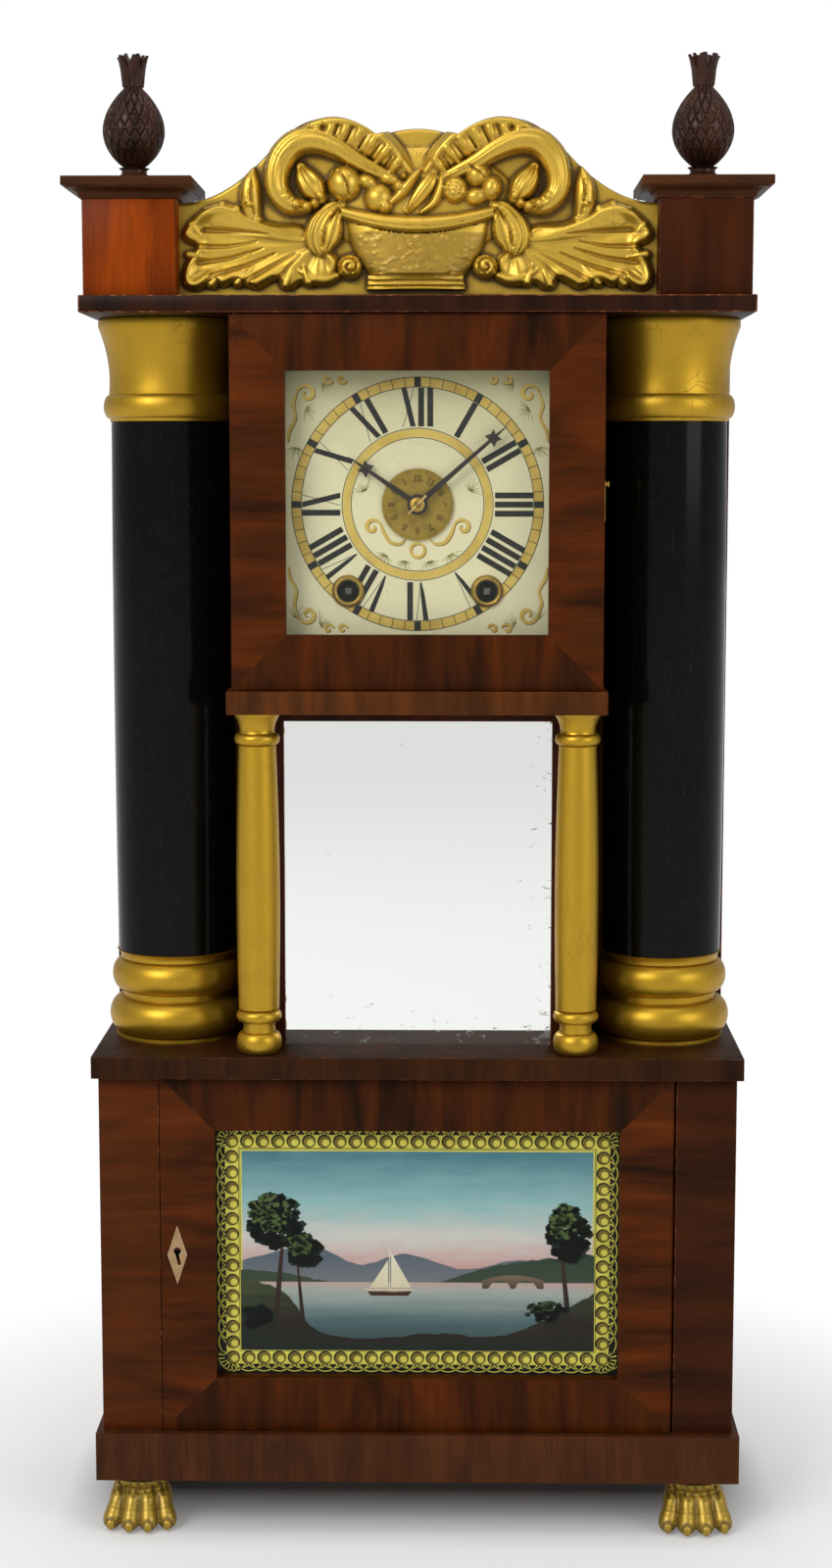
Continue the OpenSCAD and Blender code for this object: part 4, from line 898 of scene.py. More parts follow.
    @staticmethod
    def turn(
        name: str, outline: Outline, centre: Vector, axis: Axis = Axis.UP, steps: int = 96,
        ring: bool = False, degrees: float = 40,
    ) -> bpy.types.Object:
        """Turns an outline of radii and heights, in millimetres, about an axis.

        Args:
            name: The piece's name.
            outline: Radii and places along the axis.
            centre: Where the axis starts.
            axis: Its direction.
            steps: Steps round the axis.
            ring: Whether the outline closes on itself.
            degrees: Edges flatter than this are smoothed.

        Returns:
            The turned piece.
        """
        along = Vector(axis.value)
        points = [centre + Vector((r * MM, 0, 0)) + along * h * MM for r, h in outline]
        edges = [(i, i + 1) for i in range(len(points) - 1)]
        if ring:
            edges.append((len(points) - 1, 0))
        piece = Bench.mesh(name, points, edges=edges)
        Bench.open(piece)
        bpy.ops.mesh.spin(steps=steps, angle=math.tau, center=centre, axis=along)
        bpy.ops.mesh.remove_doubles(threshold=MERGE)
        bpy.ops.mesh.normals_make_consistent(inside=False)
        Bench.close()
        return Bench.smooth(piece, degrees)

    @staticmethod
    def courses(name: str, centre: Vector, levels: Sequence[tuple[float, float, float]]) -> bpy.types.Object:
        """Stacks rectangular courses by extruding a plane upwards.

        Args:
            name: The piece's name.
            centre: Middle of its foot.
            levels: Height above the foot, width and depth of each course, in millimetres.

        Returns:
            The stacked piece.
        """
        Bench.take()
        bpy.ops.mesh.primitive_plane_add(size=1, location=(0, 0, 0))
        piece = bpy.context.object
        piece.name = piece.data.name = name
        Bench.open(piece)
        rise, width, depth = levels[0]
        middle = (centre.x, centre.y, centre.z)
        bpy.ops.transform.resize(value=(width * MM, depth * MM, 1))
        bpy.ops.transform.translate(value=middle)
        for height, wide, deep in levels[1:]:
            bpy.ops.mesh.extrude_region_move(TRANSFORM_OT_translate={"value": (0, 0, (height - rise) * MM)})
            bpy.ops.transform.resize(value=(wide / width, deep / depth, 1), center_override=middle)
            rise, width, depth = height, wide, deep
        bpy.ops.mesh.select_all(action="SELECT")
        bpy.ops.mesh.normals_make_consistent(inside=False)
        Bench.close()
        return piece


def dress(piece: bpy.types.Object, *finishes: Finish) -> None:
    """Gives a new piece its finishes, in the order of its slots."""
    for finish in finishes:
        piece.data.materials.append(finish.material())


def hand_over(piece: bpy.types.Object, body: str, slot: str, *nodes: str) -> bpy.types.Object:
    """Puts a finished piece on its body and hides the nodes that it replaces.

    Args:
        piece: The finished piece.
        body: The body that it rides on.
        slot: The material slot that it takes its finish from; not used.
        nodes: The nodes that it replaces.

    Returns:
        The piece.
    """
    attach(piece, body)
    if nodes:
        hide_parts(*nodes)
    log.info("%s: %d faces, on %s", piece.name, len(piece.data.polygons), body)
    return piece


def paint_node(finish: Finish, *nodes: str) -> None:
    """Gives whole nodes, whose shapes are right, a finish.

    Args:
        finish: The finish.
        nodes: The nodes.
    """
    for node in nodes:
        for index in range(max(1, len(frame["nodes"][node].material_slots))):
            frame["nodes"][node].material_slots[index].material = finish.material()
        log.info("%s: %s", node, finish.value.name)


@dataclass
class Board:
    """A board of the case with eased edges, paler with wear and with a painted highlight.

    Attributes:
        node: The node that it replaces.
        finish: Its finish.
        slot: Its material slot.
        ease: Width of its eased edges, in millimetres.
        edge: The finish of the eased edges.
        side: -1 or 1 for the left or right board of a pair.
    """

    node: str
    finish: Finish
    slot: str
    ease: float = 0.6
    edge: Finish = Finish.EDGE
    side: int = 0

    def build(self) -> None:
        """Copies the node and eases its edges."""
        piece = Bench.copy(self.node, f"{('', 'right_', 'left_')[self.side]}{self.node}_veneered", self.side)
        dress(piece, self.finish, self.edge)
        Bench.ease(piece, self.ease)
        Bench.smooth(piece, SAWN)
        hand_over(piece, "case", self.slot, self.node)


@dataclass
class MitredDoor:
    """A cross-banded door frame whose four strips meet in mitres.

    Attributes:
        node: The frame's node.
        body: The body that it rides on.
        rail: Width of a strip, in millimetres.
    """

    node: str
    body: str
    rail: float

    def build(self) -> None:
        """Copies the frame, eases it, cuts its mitres and turns the grain of its strips."""
        low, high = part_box(self.node)
        middle = (low + high) / 2
        inner = Vector(((high.x - low.x) / 2 - self.rail * MM, 0, (high.z - low.z) / 2 - self.rail * MM))
        piece = Bench.copy(self.node, f"{self.node}_mitred")
        dress(piece, Finish.DOOR_RAIL, Finish.DOOR_STILE, Finish.EDGE)
        Bench.ease(piece, 0.5, 2)
        for across in (-1, 1):
            for up in (-1, 1):
                corner = middle + Vector((across * inner.x, 0, up * inner.z))
                Bench.open(piece)
                bpy.ops.mesh.bisect(plane_co=corner, plane_no=Vector((up, 0, -across)).normalized())
                Bench.close()
        for face in piece.data.polygons:
            if face.material_index < 2:
                off = face.center - middle
                face.material_index = int(abs(off.x) - inner.x > abs(off.z) - inner.z)
        Bench.smooth(piece, SAWN)
        hand_over(piece, self.body, "mahogany", self.node)


class Case:
    """The boards of the case, its doors and what they hang on."""

    def build(self) -> None:
        """Builds every board and dresses the nodes that stay."""
        boards = (
            Board("base_sides", Finish.SIDE, "mahogany"),
            Board("base_floor", Finish.PINE_ACROSS, "pine", edge=Finish.PINE_ACROSS),
            Board("base_stiles", Finish.LEFT_STILE, "mahogany", ease=0.4, side=-1),
            Board("base_stiles", Finish.RIGHT_STILE, "mahogany", ease=0.4, side=1),
            Board("base_moulding", Finish.MOULDING, "mahogany", ease=1.0),
            Board("ledge", Finish.LEDGE, "mahogany", ease=0.9),
            Board("backboard", Finish.PINE, "pine", edge=Finish.PINE),
            Board("rear_feet", Finish.CAP, "dark_mahogany", ease=1.2),
            Board("upper_sides", Finish.SIDE, "mahogany"),
            Board("shelf_board", Finish.SHELF, "dark_mahogany", ease=0.8),
            Board("trunk_sides", Finish.DOOR_RAIL, "mahogany", ease=0.4),
            Board("dial_box_floor", Finish.TRIM, "mahogany", ease=0.7),
            Board("mirror_frame", Finish.SIDE, "mahogany", ease=0.5),
        )
        for board in boards:
            board.build()
        MitredDoor("dial_door_frame", "dial_door", 34.3).build()
        MitredDoor("lower_door_frame", "lower_door", 35.0).build()
        paint_node(Finish.MIRROR, "mirror_glass")
        paint_node(Finish.GLASS, "dial_door_glass")
        paint_node(Finish.IRON, "door_hinge_pins", "lock_case")
        paint_node(Finish.BRASS, "catch_eye", "catch_hook", "lock_bolt")
        plate = Bench.copy("escutcheon", "keyhole_plate")
        # Painted highlight: the plate's eased edges take the paler bone.
        dress(plate, Finish.BONE, Finish.BONE_EDGE)
        Bench.ease(plate, 0.6)
        Bench.smooth(plate, SAWN)
        hand_over(plate, "lower_door", "bone", "escutcheon")


def shares(steps: int) -> list[float]:
    """Even shares from 0 to 1."""
    return [i / steps for i in range(steps + 1)]


def bead(radius: float, low: float, high: float, swell: float) -> list[tuple[float, float]]:
    """Points of a round bead on a turned outline, from its foot to its top."""
    angles = [math.pi * i / BEAD_STEPS for i in range(BEAD_STEPS + 1)]
    return [(radius + swell * math.sin(a), low + (high - low) * (1 - math.cos(a)) / 2) for a in angles]


@dataclass
class Columns:
    """The two great columns with their gilt bases and capitals, and the two small ones.

    Attributes:
        bore: Radius of the hollow for the weight.
        base_rise: Height of a base.
        capital_rise: Height of a capital.
    """

    bore: float = 33.0
    base_rise: float = 57.0
    capital_rise: float = 65.0

    def build(self) -> None:
        """Turns the columns."""
        deck = LEDGE_TOP
        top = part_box("column_capitals")[1].z / MM
        low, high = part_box("left_column")
        centre_x = abs(low.x + high.x) / 2 / MM
        back = ((low.y + high.y) / 2 - FRONT_Y) / MM
        radius = (high.x - low.x) / 2 / MM
        rise = top - deck - self.base_rise - self.capital_rise
        shaft = [(radius - 0.8 * (2 * t - 1) ** 2, rise * t) for t in shares(24)]
        base = [(41, 0), (41, 2), *bead(36, 2, 26, 9), *bead(36, 30, 51, 7), (37.4, 51.6), (37.3, 53.2),
                (38.2, 55.4), (39.6, 57)]
        bell = [(38.8 + 7.7 * t ** 2.2 + 1.2 * (1 - t) ** 3, 18 + 42 * t) for t in shares(16)]
        capital = [(39.4, 0), (39.6, 1.6), *bead(40, 2, 17, 3.6), *bell, (46.5, 63.4), (46.1, 64.6), (45, 65)]
        bases, capitals = [], []
        for side in (-1, 1):
            x = side * centre_x
            bases.append(self.bored("base", base, at(x, back, deck), self.base_rise))
            foot = at(x, back, top - self.capital_rise)
            capitals.append(self.bored("capital", capital, foot, self.capital_rise))
            name = "left_column" if side < 0 else "right_column"
            piece = self.bored(f"{name}_shaft", shaft, at(x, back, deck + self.base_rise), rise)
            dress(piece, Finish.EBONIZED)
            hand_over(piece, "case", "ebonized", name)
        for name, pair, node in (("turned_bases", bases, "column_bases"),
                                 ("turned_capitals", capitals, "column_capitals")):
            piece = Bench.join(name, pair)
            dress(piece, Finish.GILT)
            hand_over(piece, "case", "gilt", node)
        self.small(deck)

    def bored(self, name: str, outline: Outline, foot: Vector, rise: float) -> bpy.types.Object:
        """A turned piece with the column's bore through it."""
        ring = [(self.bore, 0.0), *outline, (self.bore, rise)]
        return Bench.turn(name, ring, foot, steps=128, ring=True)

    def small(self, deck: float) -> None:
        """Turns the two small columns, which stand on the ledge.

        Args:
            deck: Height of the ledge's top.
        """
        low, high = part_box("small_columns")
        radius = 14.4
        x, back = high.x / MM - radius, ((low.y + high.y) / 2 - FRONT_Y) / MM
        rise = (high.z - low.z) / MM
        shaft = [(12.9 - t + 1.4 * math.sin(math.pi * t), 29 + (rise - 50) * t) for t in shares(24)]
        cap = [(11 + 3.2 * (t ** 2), rise - 12 + 10 * t) for t in shares(8)]
        outline = [
            (0, 0), *bead(10.4, 0, 14, 4), (10.4, 15), (10, 17.5), (10.4, 20), *bead(11.4, 20.3, 28, 3),
            *shaft, *bead(11.4, rise - 20.5, rise - 13, 3), *cap, (14.4, rise - 1.6), (14.4, rise), (0, rise),
        ]
        pair = [Bench.turn("small_column", outline, at(side * x, back, deck), steps=80) for side in (-1, 1)]
        piece = Bench.join("small_turned_columns", pair)
        dress(piece, Finish.GILT)
        hand_over(piece, "case", "gilt", "small_columns")


def spline(points: Sequence[Sequence[float]], steps: int = 14) -> np.ndarray:
    """A smooth curve through points of any number of values.

    Args:
        points: The points that it passes.
        steps: Steps between two of them.

    Returns:
        The curve's points.
    """
    given = np.array(points, float)
    padded = np.vstack([2 * given[0] - given[1], given, 2 * given[-1] - given[-2]])
    share = np.linspace(0, 1, steps, endpoint=False)[:, None]
    made = []
    for i in range(1, len(padded) - 2):
        a, b, c, d = padded[i - 1], padded[i], padded[i + 1], padded[i + 2]
        made.append(0.5 * (2 * b + (c - a) * share + (2 * a - 5 * b + 4 * c - d) * share ** 2
                           + (3 * b - a - 3 * c + d) * share ** 3))
    return np.vstack([*made, given[-1:]])


class Relief:
    """Heights of a carved face over a grid, worked on with strokes as a carver does."""

    def __init__(self, x: np.ndarray, z: np.ndarray) -> None:
        """Starts with a flat ground of height 0 over a grid, in millimetres."""
        self.x, self.z = x, z
        self.height = np.zeros_like(x)

    @staticmethod
    def runs(x: np.ndarray, z: np.ndarray, path: np.ndarray) -> Iterator[tuple[np.ndarray, ...]]:
        """Finds the nearest place to every point on each straight run of a path.

        Args:
            x: The points' places across.
            z: Their heights.
            path: The path's points.

        Yields:
            The run's two ends, the share along it and the way from it, across and up.
        """
        for a, b in zip(path[:-1], path[1:]):
            run = b[:2] - a[:2]
            length = max(float(run @ run), 1e-9)
            t = np.clip(((x - a[0]) * run[0] + (z - a[1]) * run[1]) / length, 0, 1)
            yield a, b, t, x - a[0] - run[0] * t, z - a[1] - run[1] * t

    def stroke(
        self, path: Sequence[Sequence[float]], crown: float = 0.5, ribs: int = 0, groove: float = 0.0,
        carve: bool = False,
    ) -> None:
        """A rounded stroke along a path.

        Args:
            path: Points of x, z, half width and height.
            crown: How much of the height the round takes.
            ribs: Lines along the stroke.
            groove: Depth of those lines.
            carve: Whether the stroke cuts into the face and isn't raised on it.
        """
        curve = spline(path)
        reach = curve[:, 2].max() + 1
        near = (
            (self.x > curve[:, 0].min() - reach) & (self.x < curve[:, 0].max() + reach)
            & (self.z > curve[:, 1].min() - reach) & (self.z < curve[:, 1].max() + reach)
        )
        px, pz = self.x[near], self.z[near]
        best = np.full(px.shape, 1e9)
        side, wide, tall = np.zeros_like(px), np.ones_like(px), np.zeros_like(px)
        for a, b, t, dx, dz in self.runs(px, pz, curve):
            away = np.hypot(dx, dz)
            closer = away < best
            best[closer] = away[closer]
            side[closer] = np.sign(dx * (b[1] - a[1]) - dz * (b[0] - a[0]))[closer]
            wide[closer] = (a[2] + (b[2] - a[2]) * t)[closer]
            tall[closer] = (a[3] + (b[3] - a[3]) * t)[closer]
        share = np.clip(best / np.maximum(wide, 1e-3), 0, 1)
        made = tall * (1 - crown + crown * np.sqrt(1 - share ** 2))
        if ribs:
            made -= groove * (0.5 - 0.5 * np.cos(share * side * math.pi * ribs)) * (share < 0.95)
        made[share >= 1] = 0
        if carve:
            self.height[near] -= np.where(share < 1, tall * (1 - share ** 2), 0)
        else:
            self.height[near] = np.maximum(self.height[near], made)

    def dome(self, x: float, z: float, wide: float, tall: float, rise: float, sunk: float = 0.35,
             lean: float = 0.0) -> None:
        """A rounded boss, such as a fruit.

        Args:
            x: Middle across.
            z: Middle up.
            wide: Half width.
            tall: Half height.
            rise: Height of its crown.
            sunk: Share of the height that is upright wall.
            lean: Turn in degrees.
        """
        c, s = math.cos(math.radians(lean)), math.sin(math.radians(lean))
        u = ((self.x - x) * c + (self.z - z) * s) / wide
        v = ((self.z - z) * c - (self.x - x) * s) / tall
        away = u ** 2 + v ** 2
        made = np.where(away < 1, rise * (sunk + (1 - sunk) * np.sqrt(np.clip(1 - away, 0, 1))), 0)
        self.height = np.maximum(self.height, made)

    def field(self, outline: Sequence[Sequence[float]], shape: Callable[..., np.ndarray]) -> None:
        """A broad form with an outline, such as a leaf.

        Args:
            outline: Points of its edge.
            shape: Gives the height from x, z and the distance to the edge.
        """
        edge = spline([*outline, outline[0]], 8)[:, :2]
        near = (
            (self.x > edge[:, 0].min()) & (self.x < edge[:, 0].max())
            & (self.z > edge[:, 1].min()) & (self.z < edge[:, 1].max())
        )
        px, pz = self.x[near], self.z[near]
        inside = np.zeros(px.shape, bool)
        away = np.full(px.shape, 1e9)
        for a, b, _, dx, dz in self.runs(px, pz, edge):
            away = np.minimum(away, np.hypot(dx, dz))
            if a[1] != b[1]:
                crosses = (a[1] > pz) != (b[1] > pz)
                inside ^= crosses & (px < (b[0] - a[0]) * (pz - a[1]) / (b[1] - a[1]) + a[0])
        made = np.where(inside, shape(px, pz, away), 0)
        self.height[near] = np.maximum(self.height[near], made)


@dataclass
class Crest:
    """The carved crest: a basket of fruit between two great scrolls, with broad leaves at its ends.

    Attributes:
        half: Half its length.
        ground: Depth of its flat ground behind the ledge's front.
        back: Depth of its back.
        boldest: Greatest height of the carving over the ground.
        columns: Steps of the carved grid across.
        rows: Steps of the carved grid up.
    """

    half: float = 148.5
    ground: float = 29.5
    back: float = 46.0
    boldest: float = 17.5
    columns: int = 400
    rows: int = 150

    def edge(self, x: np.ndarray) -> np.ndarray:
        """Height of the crest's upper edge at places across.

        Args:
            x: Places across.

        Returns:
            The heights.
        """
        away = np.abs(x)
        fan = 98 + 5 * (1 - (away / 25) ** 2)
        inner = 109.5 - 11.5 * ((57 - away) / 32) ** 2
        outer = 109.5 - 0.0165 * (away - 57) ** 2
        end = 58.0 + 33.53 * ((148.5 - away) / 58.5) ** 2
        return np.select([away < 25, away < 57, away < 90], [fan, inner, outer], end)

    def build(self) -> None:
        """Carves the crest and closes its back."""
        across = np.linspace(-self.half, self.half, self.columns + 1)
        x = np.repeat(across[None, :], self.rows + 1, 0)
        z = np.linspace(0, 1, self.rows + 1)[:, None] * self.edge(across)[None, :]
        relief = Relief(x, z)
        relief.dome(0, 58, 62, 34, 9, 0.0)
        for side in (-1, 1):
            relief.x = x * side
            self.leaf(relief)
            self.scroll(relief)
        relief.x = x
        self.fruit(relief)
        self.basket(relief)
        fall = (self.edge(x) - z) / 2.2
        relief.height = np.minimum(relief.height, self.boldest)
        relief.height -= 1.6 * np.clip(1 - fall, 0, 1) ** 2
        relief.height = np.where(z < 1.2, np.minimum(relief.height, 1.0), relief.height)
        self.close(relief, x, z)

    def leaf(self, relief: Relief) -> None:
        """The broad leaf at one end, its bud leaf and the leaf that hangs beside the basket.

        Args:
            relief: The face.
        """
        root = (60.0, 34.0)

        def broad(x: np.ndarray, z: np.ndarray, away: np.ndarray) -> np.ndarray:
            """Height of the broad leaf: folds that fan out from its root.

            Args:
                x: Places across.
                z: Heights.
                away: Distances to the leaf's edge.

            Returns:
                The heights of its face.
            """
            angle = np.degrees(np.arctan2(z - root[1], x - root[0]))
            reach = np.hypot(x - root[0], z - root[1]) / 90
            bend = angle - 16 * reach
            folds = np.cos(np.radians(bend * 8.5)) * (0.6 + 2.1 * reach)
            crease = np.exp(-((bend + 6) / 5) ** 2) * 3.2 * np.clip(reach * 1.6, 0, 1)
            edge = np.clip(away / 3.2, 0, 1) ** 0.5
            lip = np.exp(-((away - 4.5) / 3.2) ** 2) * 2.8 * np.clip(reach * 1.4, 0, 1)
            return 1.0 + edge * (5.0 + folds + lip - crease + 2.5 * np.clip(reach, 0, 1))

        relief.field(
            [(56, 30), (72, 44), (90, 46), (104, 51), (112, 56), (123, 58), (134, 54), (143, 46), (147, 38),
             (143, 33), (139, 31), (142, 26), (145.5, 20), (147, 12), (144, 5.5), (138, 3.6), (132, 6),
             (127, 9), (121, 6), (113, 9), (108, 7), (100, 4.6), (94, 7.5), (88, 10), (84, 5), (78, 4.4),
             (72, 8), (64, 6.5), (56, 9.5), (50, 15), (49, 24)],
            broad,
        )
        lobes = (
            (140, 44, 136, 40, 3.4), (131, 52, 127, 46, 3.6), (121, 55.5, 118, 49, 3.4),
            (112, 53.5, 110, 47, 3.0),
            (143, 9, 136, 14, 3.2), (128, 8, 122, 14, 3.2), (112, 8.5, 106, 15, 3.0), (100, 8, 95, 15, 3.2),
            (82, 7.5, 79, 14, 3.0), (68, 9, 70, 16, 2.8), (142, 26, 135, 25, 3.0),
        )
        for x0, z0, x1, z1, wide in lobes:
            inner = (1.8 * x1 - 0.8 * x0, 1.8 * z1 - 0.8 * z0, 0.8, 6.2)
            relief.stroke([(x0, z0, wide, 9.6), (x1, z1, wide * 0.75, 8.6), inner], 0.6)
        creases = (
            (139, 31, 118, 31, 100, 34), (136, 21, 116, 24, 96, 30), (128, 13, 108, 19, 88, 27),
            (106, 10, 92, 18, 76, 27), (88, 9, 82, 16, 72, 26), (132, 41, 112, 40, 92, 38),
        )
        for x0, z0, x1, z1, x2, z2 in creases:
            relief.stroke([(x0, z0, 2.0, 2.6), (x1, z1, 1.5, 2.0), (x2, z2, 0.7, 0.8)], carve=True)
        relief.stroke([(100, 44, 3.2, 7), (102.5, 52, 5.6, 9.5), (103.5, 62, 6.6, 10.5), (103, 71, 5.4, 9.5),
                       (101.5, 79, 1.0, 6)], 0.55)
        relief.stroke([(101, 50, 0.9, 1.4), (103, 62, 1.3, 2.0), (102, 74, 0.6, 1.2)], carve=True)
        relief.dome(104, 56.5, 3.2, 2.8, 11.8, 0.5)
        relief.dome(98.5, 47.5, 2.8, 2.4, 9.5, 0.5)
        relief.stroke([(47, 56, 3.0, 11), (52, 52, 7.0, 12.5), (57, 43, 11.0, 13.0), (59.5, 34, 10.5, 12.5),
                       (59, 27, 5.5, 10.5), (58, 24.5, 2, 8)], 0.45, ribs=5, groove=1.3)
        relief.stroke([(49, 53, 0.9, 1.2), (56, 44, 1.3, 2.0), (59, 30, 0.9, 1.2)], carve=True)

    def scroll(self, relief: Relief) -> None:
        """The great scroll on one side: a leafy band along the edge, and a stem that curls under it.

        Args:
            relief: The face.
        """
        relief.stroke([(6, 74, 6, 10), (17, 87, 9, 12), (30, 96, 10.5, 13), (45, 99, 10.5, 13),
                       (60, 98, 8.5, 12), (72, 97, 4, 10)], 0.45)
        relief.stroke([(5, 76, 2.8, 12), (16, 91, 3.6, 14.5), (30, 102, 3.8, 15.5), (47, 105.8, 3.8, 15.5),
                       (62, 104.4, 3.4, 14.5), (72, 100, 2.4, 12)], 0.6)
        lobes = (
            (11, 83, 17, 75), (18, 90, 25, 82), (26, 96, 32, 87.5), (35, 100, 40, 91),
            (44, 102, 48, 93), (53, 102.5, 56, 95), (62, 101, 63.5, 96),
        )
        for x0, z0, x1, z1 in lobes:
            middle = ((x0 + x1) / 2, (z0 + z1) / 2, 4.3, 14.6)
            relief.stroke([(x0, z0, 4.2, 15.2), middle, (x1, z1, 2.4, 11.0)], 0.65)
            relief.stroke([(x0 + 4.6, z0 + 2.4, 0.7, 1.0), (x1 + 4.2, z1 + 2.6, 1.0, 2.4)], carve=True)
        relief.stroke(
            [(13, 71, 3.0, 11), (24, 76, 4.2, 13), (36, 82, 5.2, 15), (49, 90, 6.6, 16.5), (62, 95, 7.6, 17),
             (74, 94, 8.2, 17), (83, 86, 8.4, 17), (87, 75, 7.8, 17), (86, 64, 7.2, 16.5), (79, 56.5, 6.2, 16),
             (71, 55, 4.6, 14)],
            0.5, ribs=3, groove=1.0,
        )
        for x, z, wide in ((81, 60.5, 4.0), (75, 56, 3.8), (68.5, 54.5, 3.6), (63.5, 56.5, 3.0)):
            relief.dome(x, z, wide, wide, 17.2, 0.6)
        relief.stroke([(76, 72, 2.0, 3.0), (71, 81, 2.4, 5.0), (62, 84.5, 2.2, 5.0), (53, 82, 1.6, 3.0)],
                      carve=True)
        relief.stroke([(72, 79, 3.5, 9), (69, 73, 7.0, 13), (64.5, 66.5, 8.0, 14.2), (60, 60.5, 4.5, 12)], 0.5,
                      ribs=3, groove=1.3)
        relief.dome(60, 61.5, 3.4, 3.8, 13.5, 0.5, -20)
        relief.dome(42, 18.5, 7.6, 7.4, 13.5, 0.55)
        curl = []
        for i in range(15):
            reach, turn = 6.4 - 0.36 * i, 0.55 * i - 0.4
            curl.append((42 + reach * math.cos(turn), 18.5 + reach * math.sin(turn), 0.9, 2.4))
        relief.stroke(curl, carve=True)
        relief.stroke([(50, 13, 2.5, 8), (58, 10.5, 3.6, 9), (68, 13, 3.2, 8.5), (76, 18, 1.5, 7)], 0.6)

    def fruit(self, relief: Relief) -> None:
        """The fruit and small leaves that rise out of the basket.

        Args:
            relief: The face.
        """
        for foot, head in ((-3, -16), (-1, -8), (0, 1), (1, 9), (3, 17)):
            relief.stroke([(foot, 84, 0.5, 0.4), (head, 101, 0.7, 0.9)], carve=True)
        relief.dome(-45, 69, 10.8, 11.2, 17.2, 0.35)
        relief.stroke([(-49, 76, 1.0, 1.6), (-44, 70, 1.1, 2.2), (-42, 61, 0.8, 1.4)], carve=True)
        relief.dome(-24, 60, 9.6, 9.4, 15.5, 0.35, 20)
        relief.dome(-31, 70, 7.0, 5.0, 13.5, 0.4, -25)
        relief.dome(-17, 71.5, 7.6, 4.4, 13.0, 0.4, -12)
        relief.dome(-20, 55, 5.0, 5.2, 16.5, 0.4)
        relief.stroke([(-20, 54, 2.4, 12), (-10, 63, 4.6, 14), (-3, 72, 4.0, 14), (3, 78, 1.2, 10)], 0.6,
                      ribs=1, groove=1.4)
        relief.dome(-11.5, 67, 4.4, 4.6, 15.8, 0.4)
        relief.dome(-8.5, 73, 2.0, 2.0, 16.6, 0.5)
        relief.stroke([(-6, 52, 2.6, 12), (1, 61, 5.0, 14.5), (7, 69, 5.4, 14.5), (11, 76, 2.2, 11)], 0.6,
                      ribs=3, groove=1.2)
        relief.stroke([(2, 51, 2.2, 12), (10, 57, 4.0, 13.5), (14, 66, 4.0, 13.5), (15, 76, 1.6, 11)], 0.6,
                      ribs=1, groove=1.2)
        relief.dome(23, 65, 8.6, 9.0, 16.2, 0.35)
        rng = np.random.default_rng(3)
        for ring, count in ((0.0, 1), (2.8, 6), (5.4, 11)):
            for k in range(count):
                a = math.tau * (k + 0.5 * rng.random()) / count
                x, z = 23 + ring * math.cos(a), 65 + ring * math.sin(a)
                relief.dome(x, z, 1.7, 1.7, 17.4 - 0.1 * ring ** 2, 0.75)
        relief.dome(37, 74, 8.2, 7.6, 15.4, 0.35, 25)
        relief.dome(45.5, 66, 6.8, 8.2, 15.8, 0.35, -15)
        relief.dome(36, 61, 7.6, 6.0, 13.5, 0.4, 10)
        relief.stroke([(31, 80, 0.9, 1.6), (37, 76, 1.0, 2.0), (42, 72, 0.7, 1.4)], carve=True)

    def basket(self, relief: Relief) -> None:
        """The basket's bowl, pricked all over, its rim and its foot.

        Args:
            relief: The face.
        """
        x, z = relief.x, relief.z
        rim = 43.6 + 8.0 * (x / 46) ** 2
        share = np.clip((z - 14) / (rim - 14), 0, 1)
        wide = 29.5 + 15.0 * np.sin(share * math.pi / 2) ** 0.85
        inside = (np.abs(x) < wide) & (z > 13) & (z < rim + 4)
        round_ = np.sqrt(np.clip(1 - (x / np.maximum(wide, 1)) ** 2, 0, 1))
        body = 3.5 + 10.5 * round_
        rng = np.random.default_rng(7)
        for _ in range(120):
            px, pz, size = rng.uniform(-38, 38), rng.uniform(15, 40), rng.uniform(0.7, 1.1)
            off = ((x - px) / (size * 1.5)) ** 2 + ((z - pz) / size) ** 2
            body += rng.choice([0.5, -0.35]) * np.exp(-off)
        above = np.where(z > rim - 3, relief.height, 0)
        relief.height = np.where(inside, np.maximum(body, above), relief.height)
        band = np.abs(z - rim) / (5.6 - 1.6 * (x / 48) ** 2)
        lift = 17.0 * (0.55 + 0.45 * np.sqrt(np.clip(1 - band ** 2, 0, 1))) - 5 * (x / 48) ** 2
        lift -= 0.9 * np.exp(-((z - rim + 1.2) / 0.7) ** 2)
        lift = np.maximum(lift, relief.height * (np.abs(x) > 41))
        relief.height = np.where((band < 1) & (np.abs(x) < 47), lift, relief.height)
        foot = (np.abs(x + 1) < 31 - 0.12 * z) & (z > 4.5) & (z < 14)
        lines = 0.5 - 0.5 * np.cos((z - 4.5) / 9.5 * math.tau * 3)
        relief.height = np.where(foot, 11.5 - 1.1 * lines - 3 * (x / 34) ** 4, relief.height)

    def close(self, relief: Relief, x: np.ndarray, z: np.ndarray) -> None:
        """Makes the mesh: the carved face, its four edges and its flat back.

        Args:
            relief: The carved face.
            x: Places of its points across.
            z: Their heights.
        """
        height = relief.height
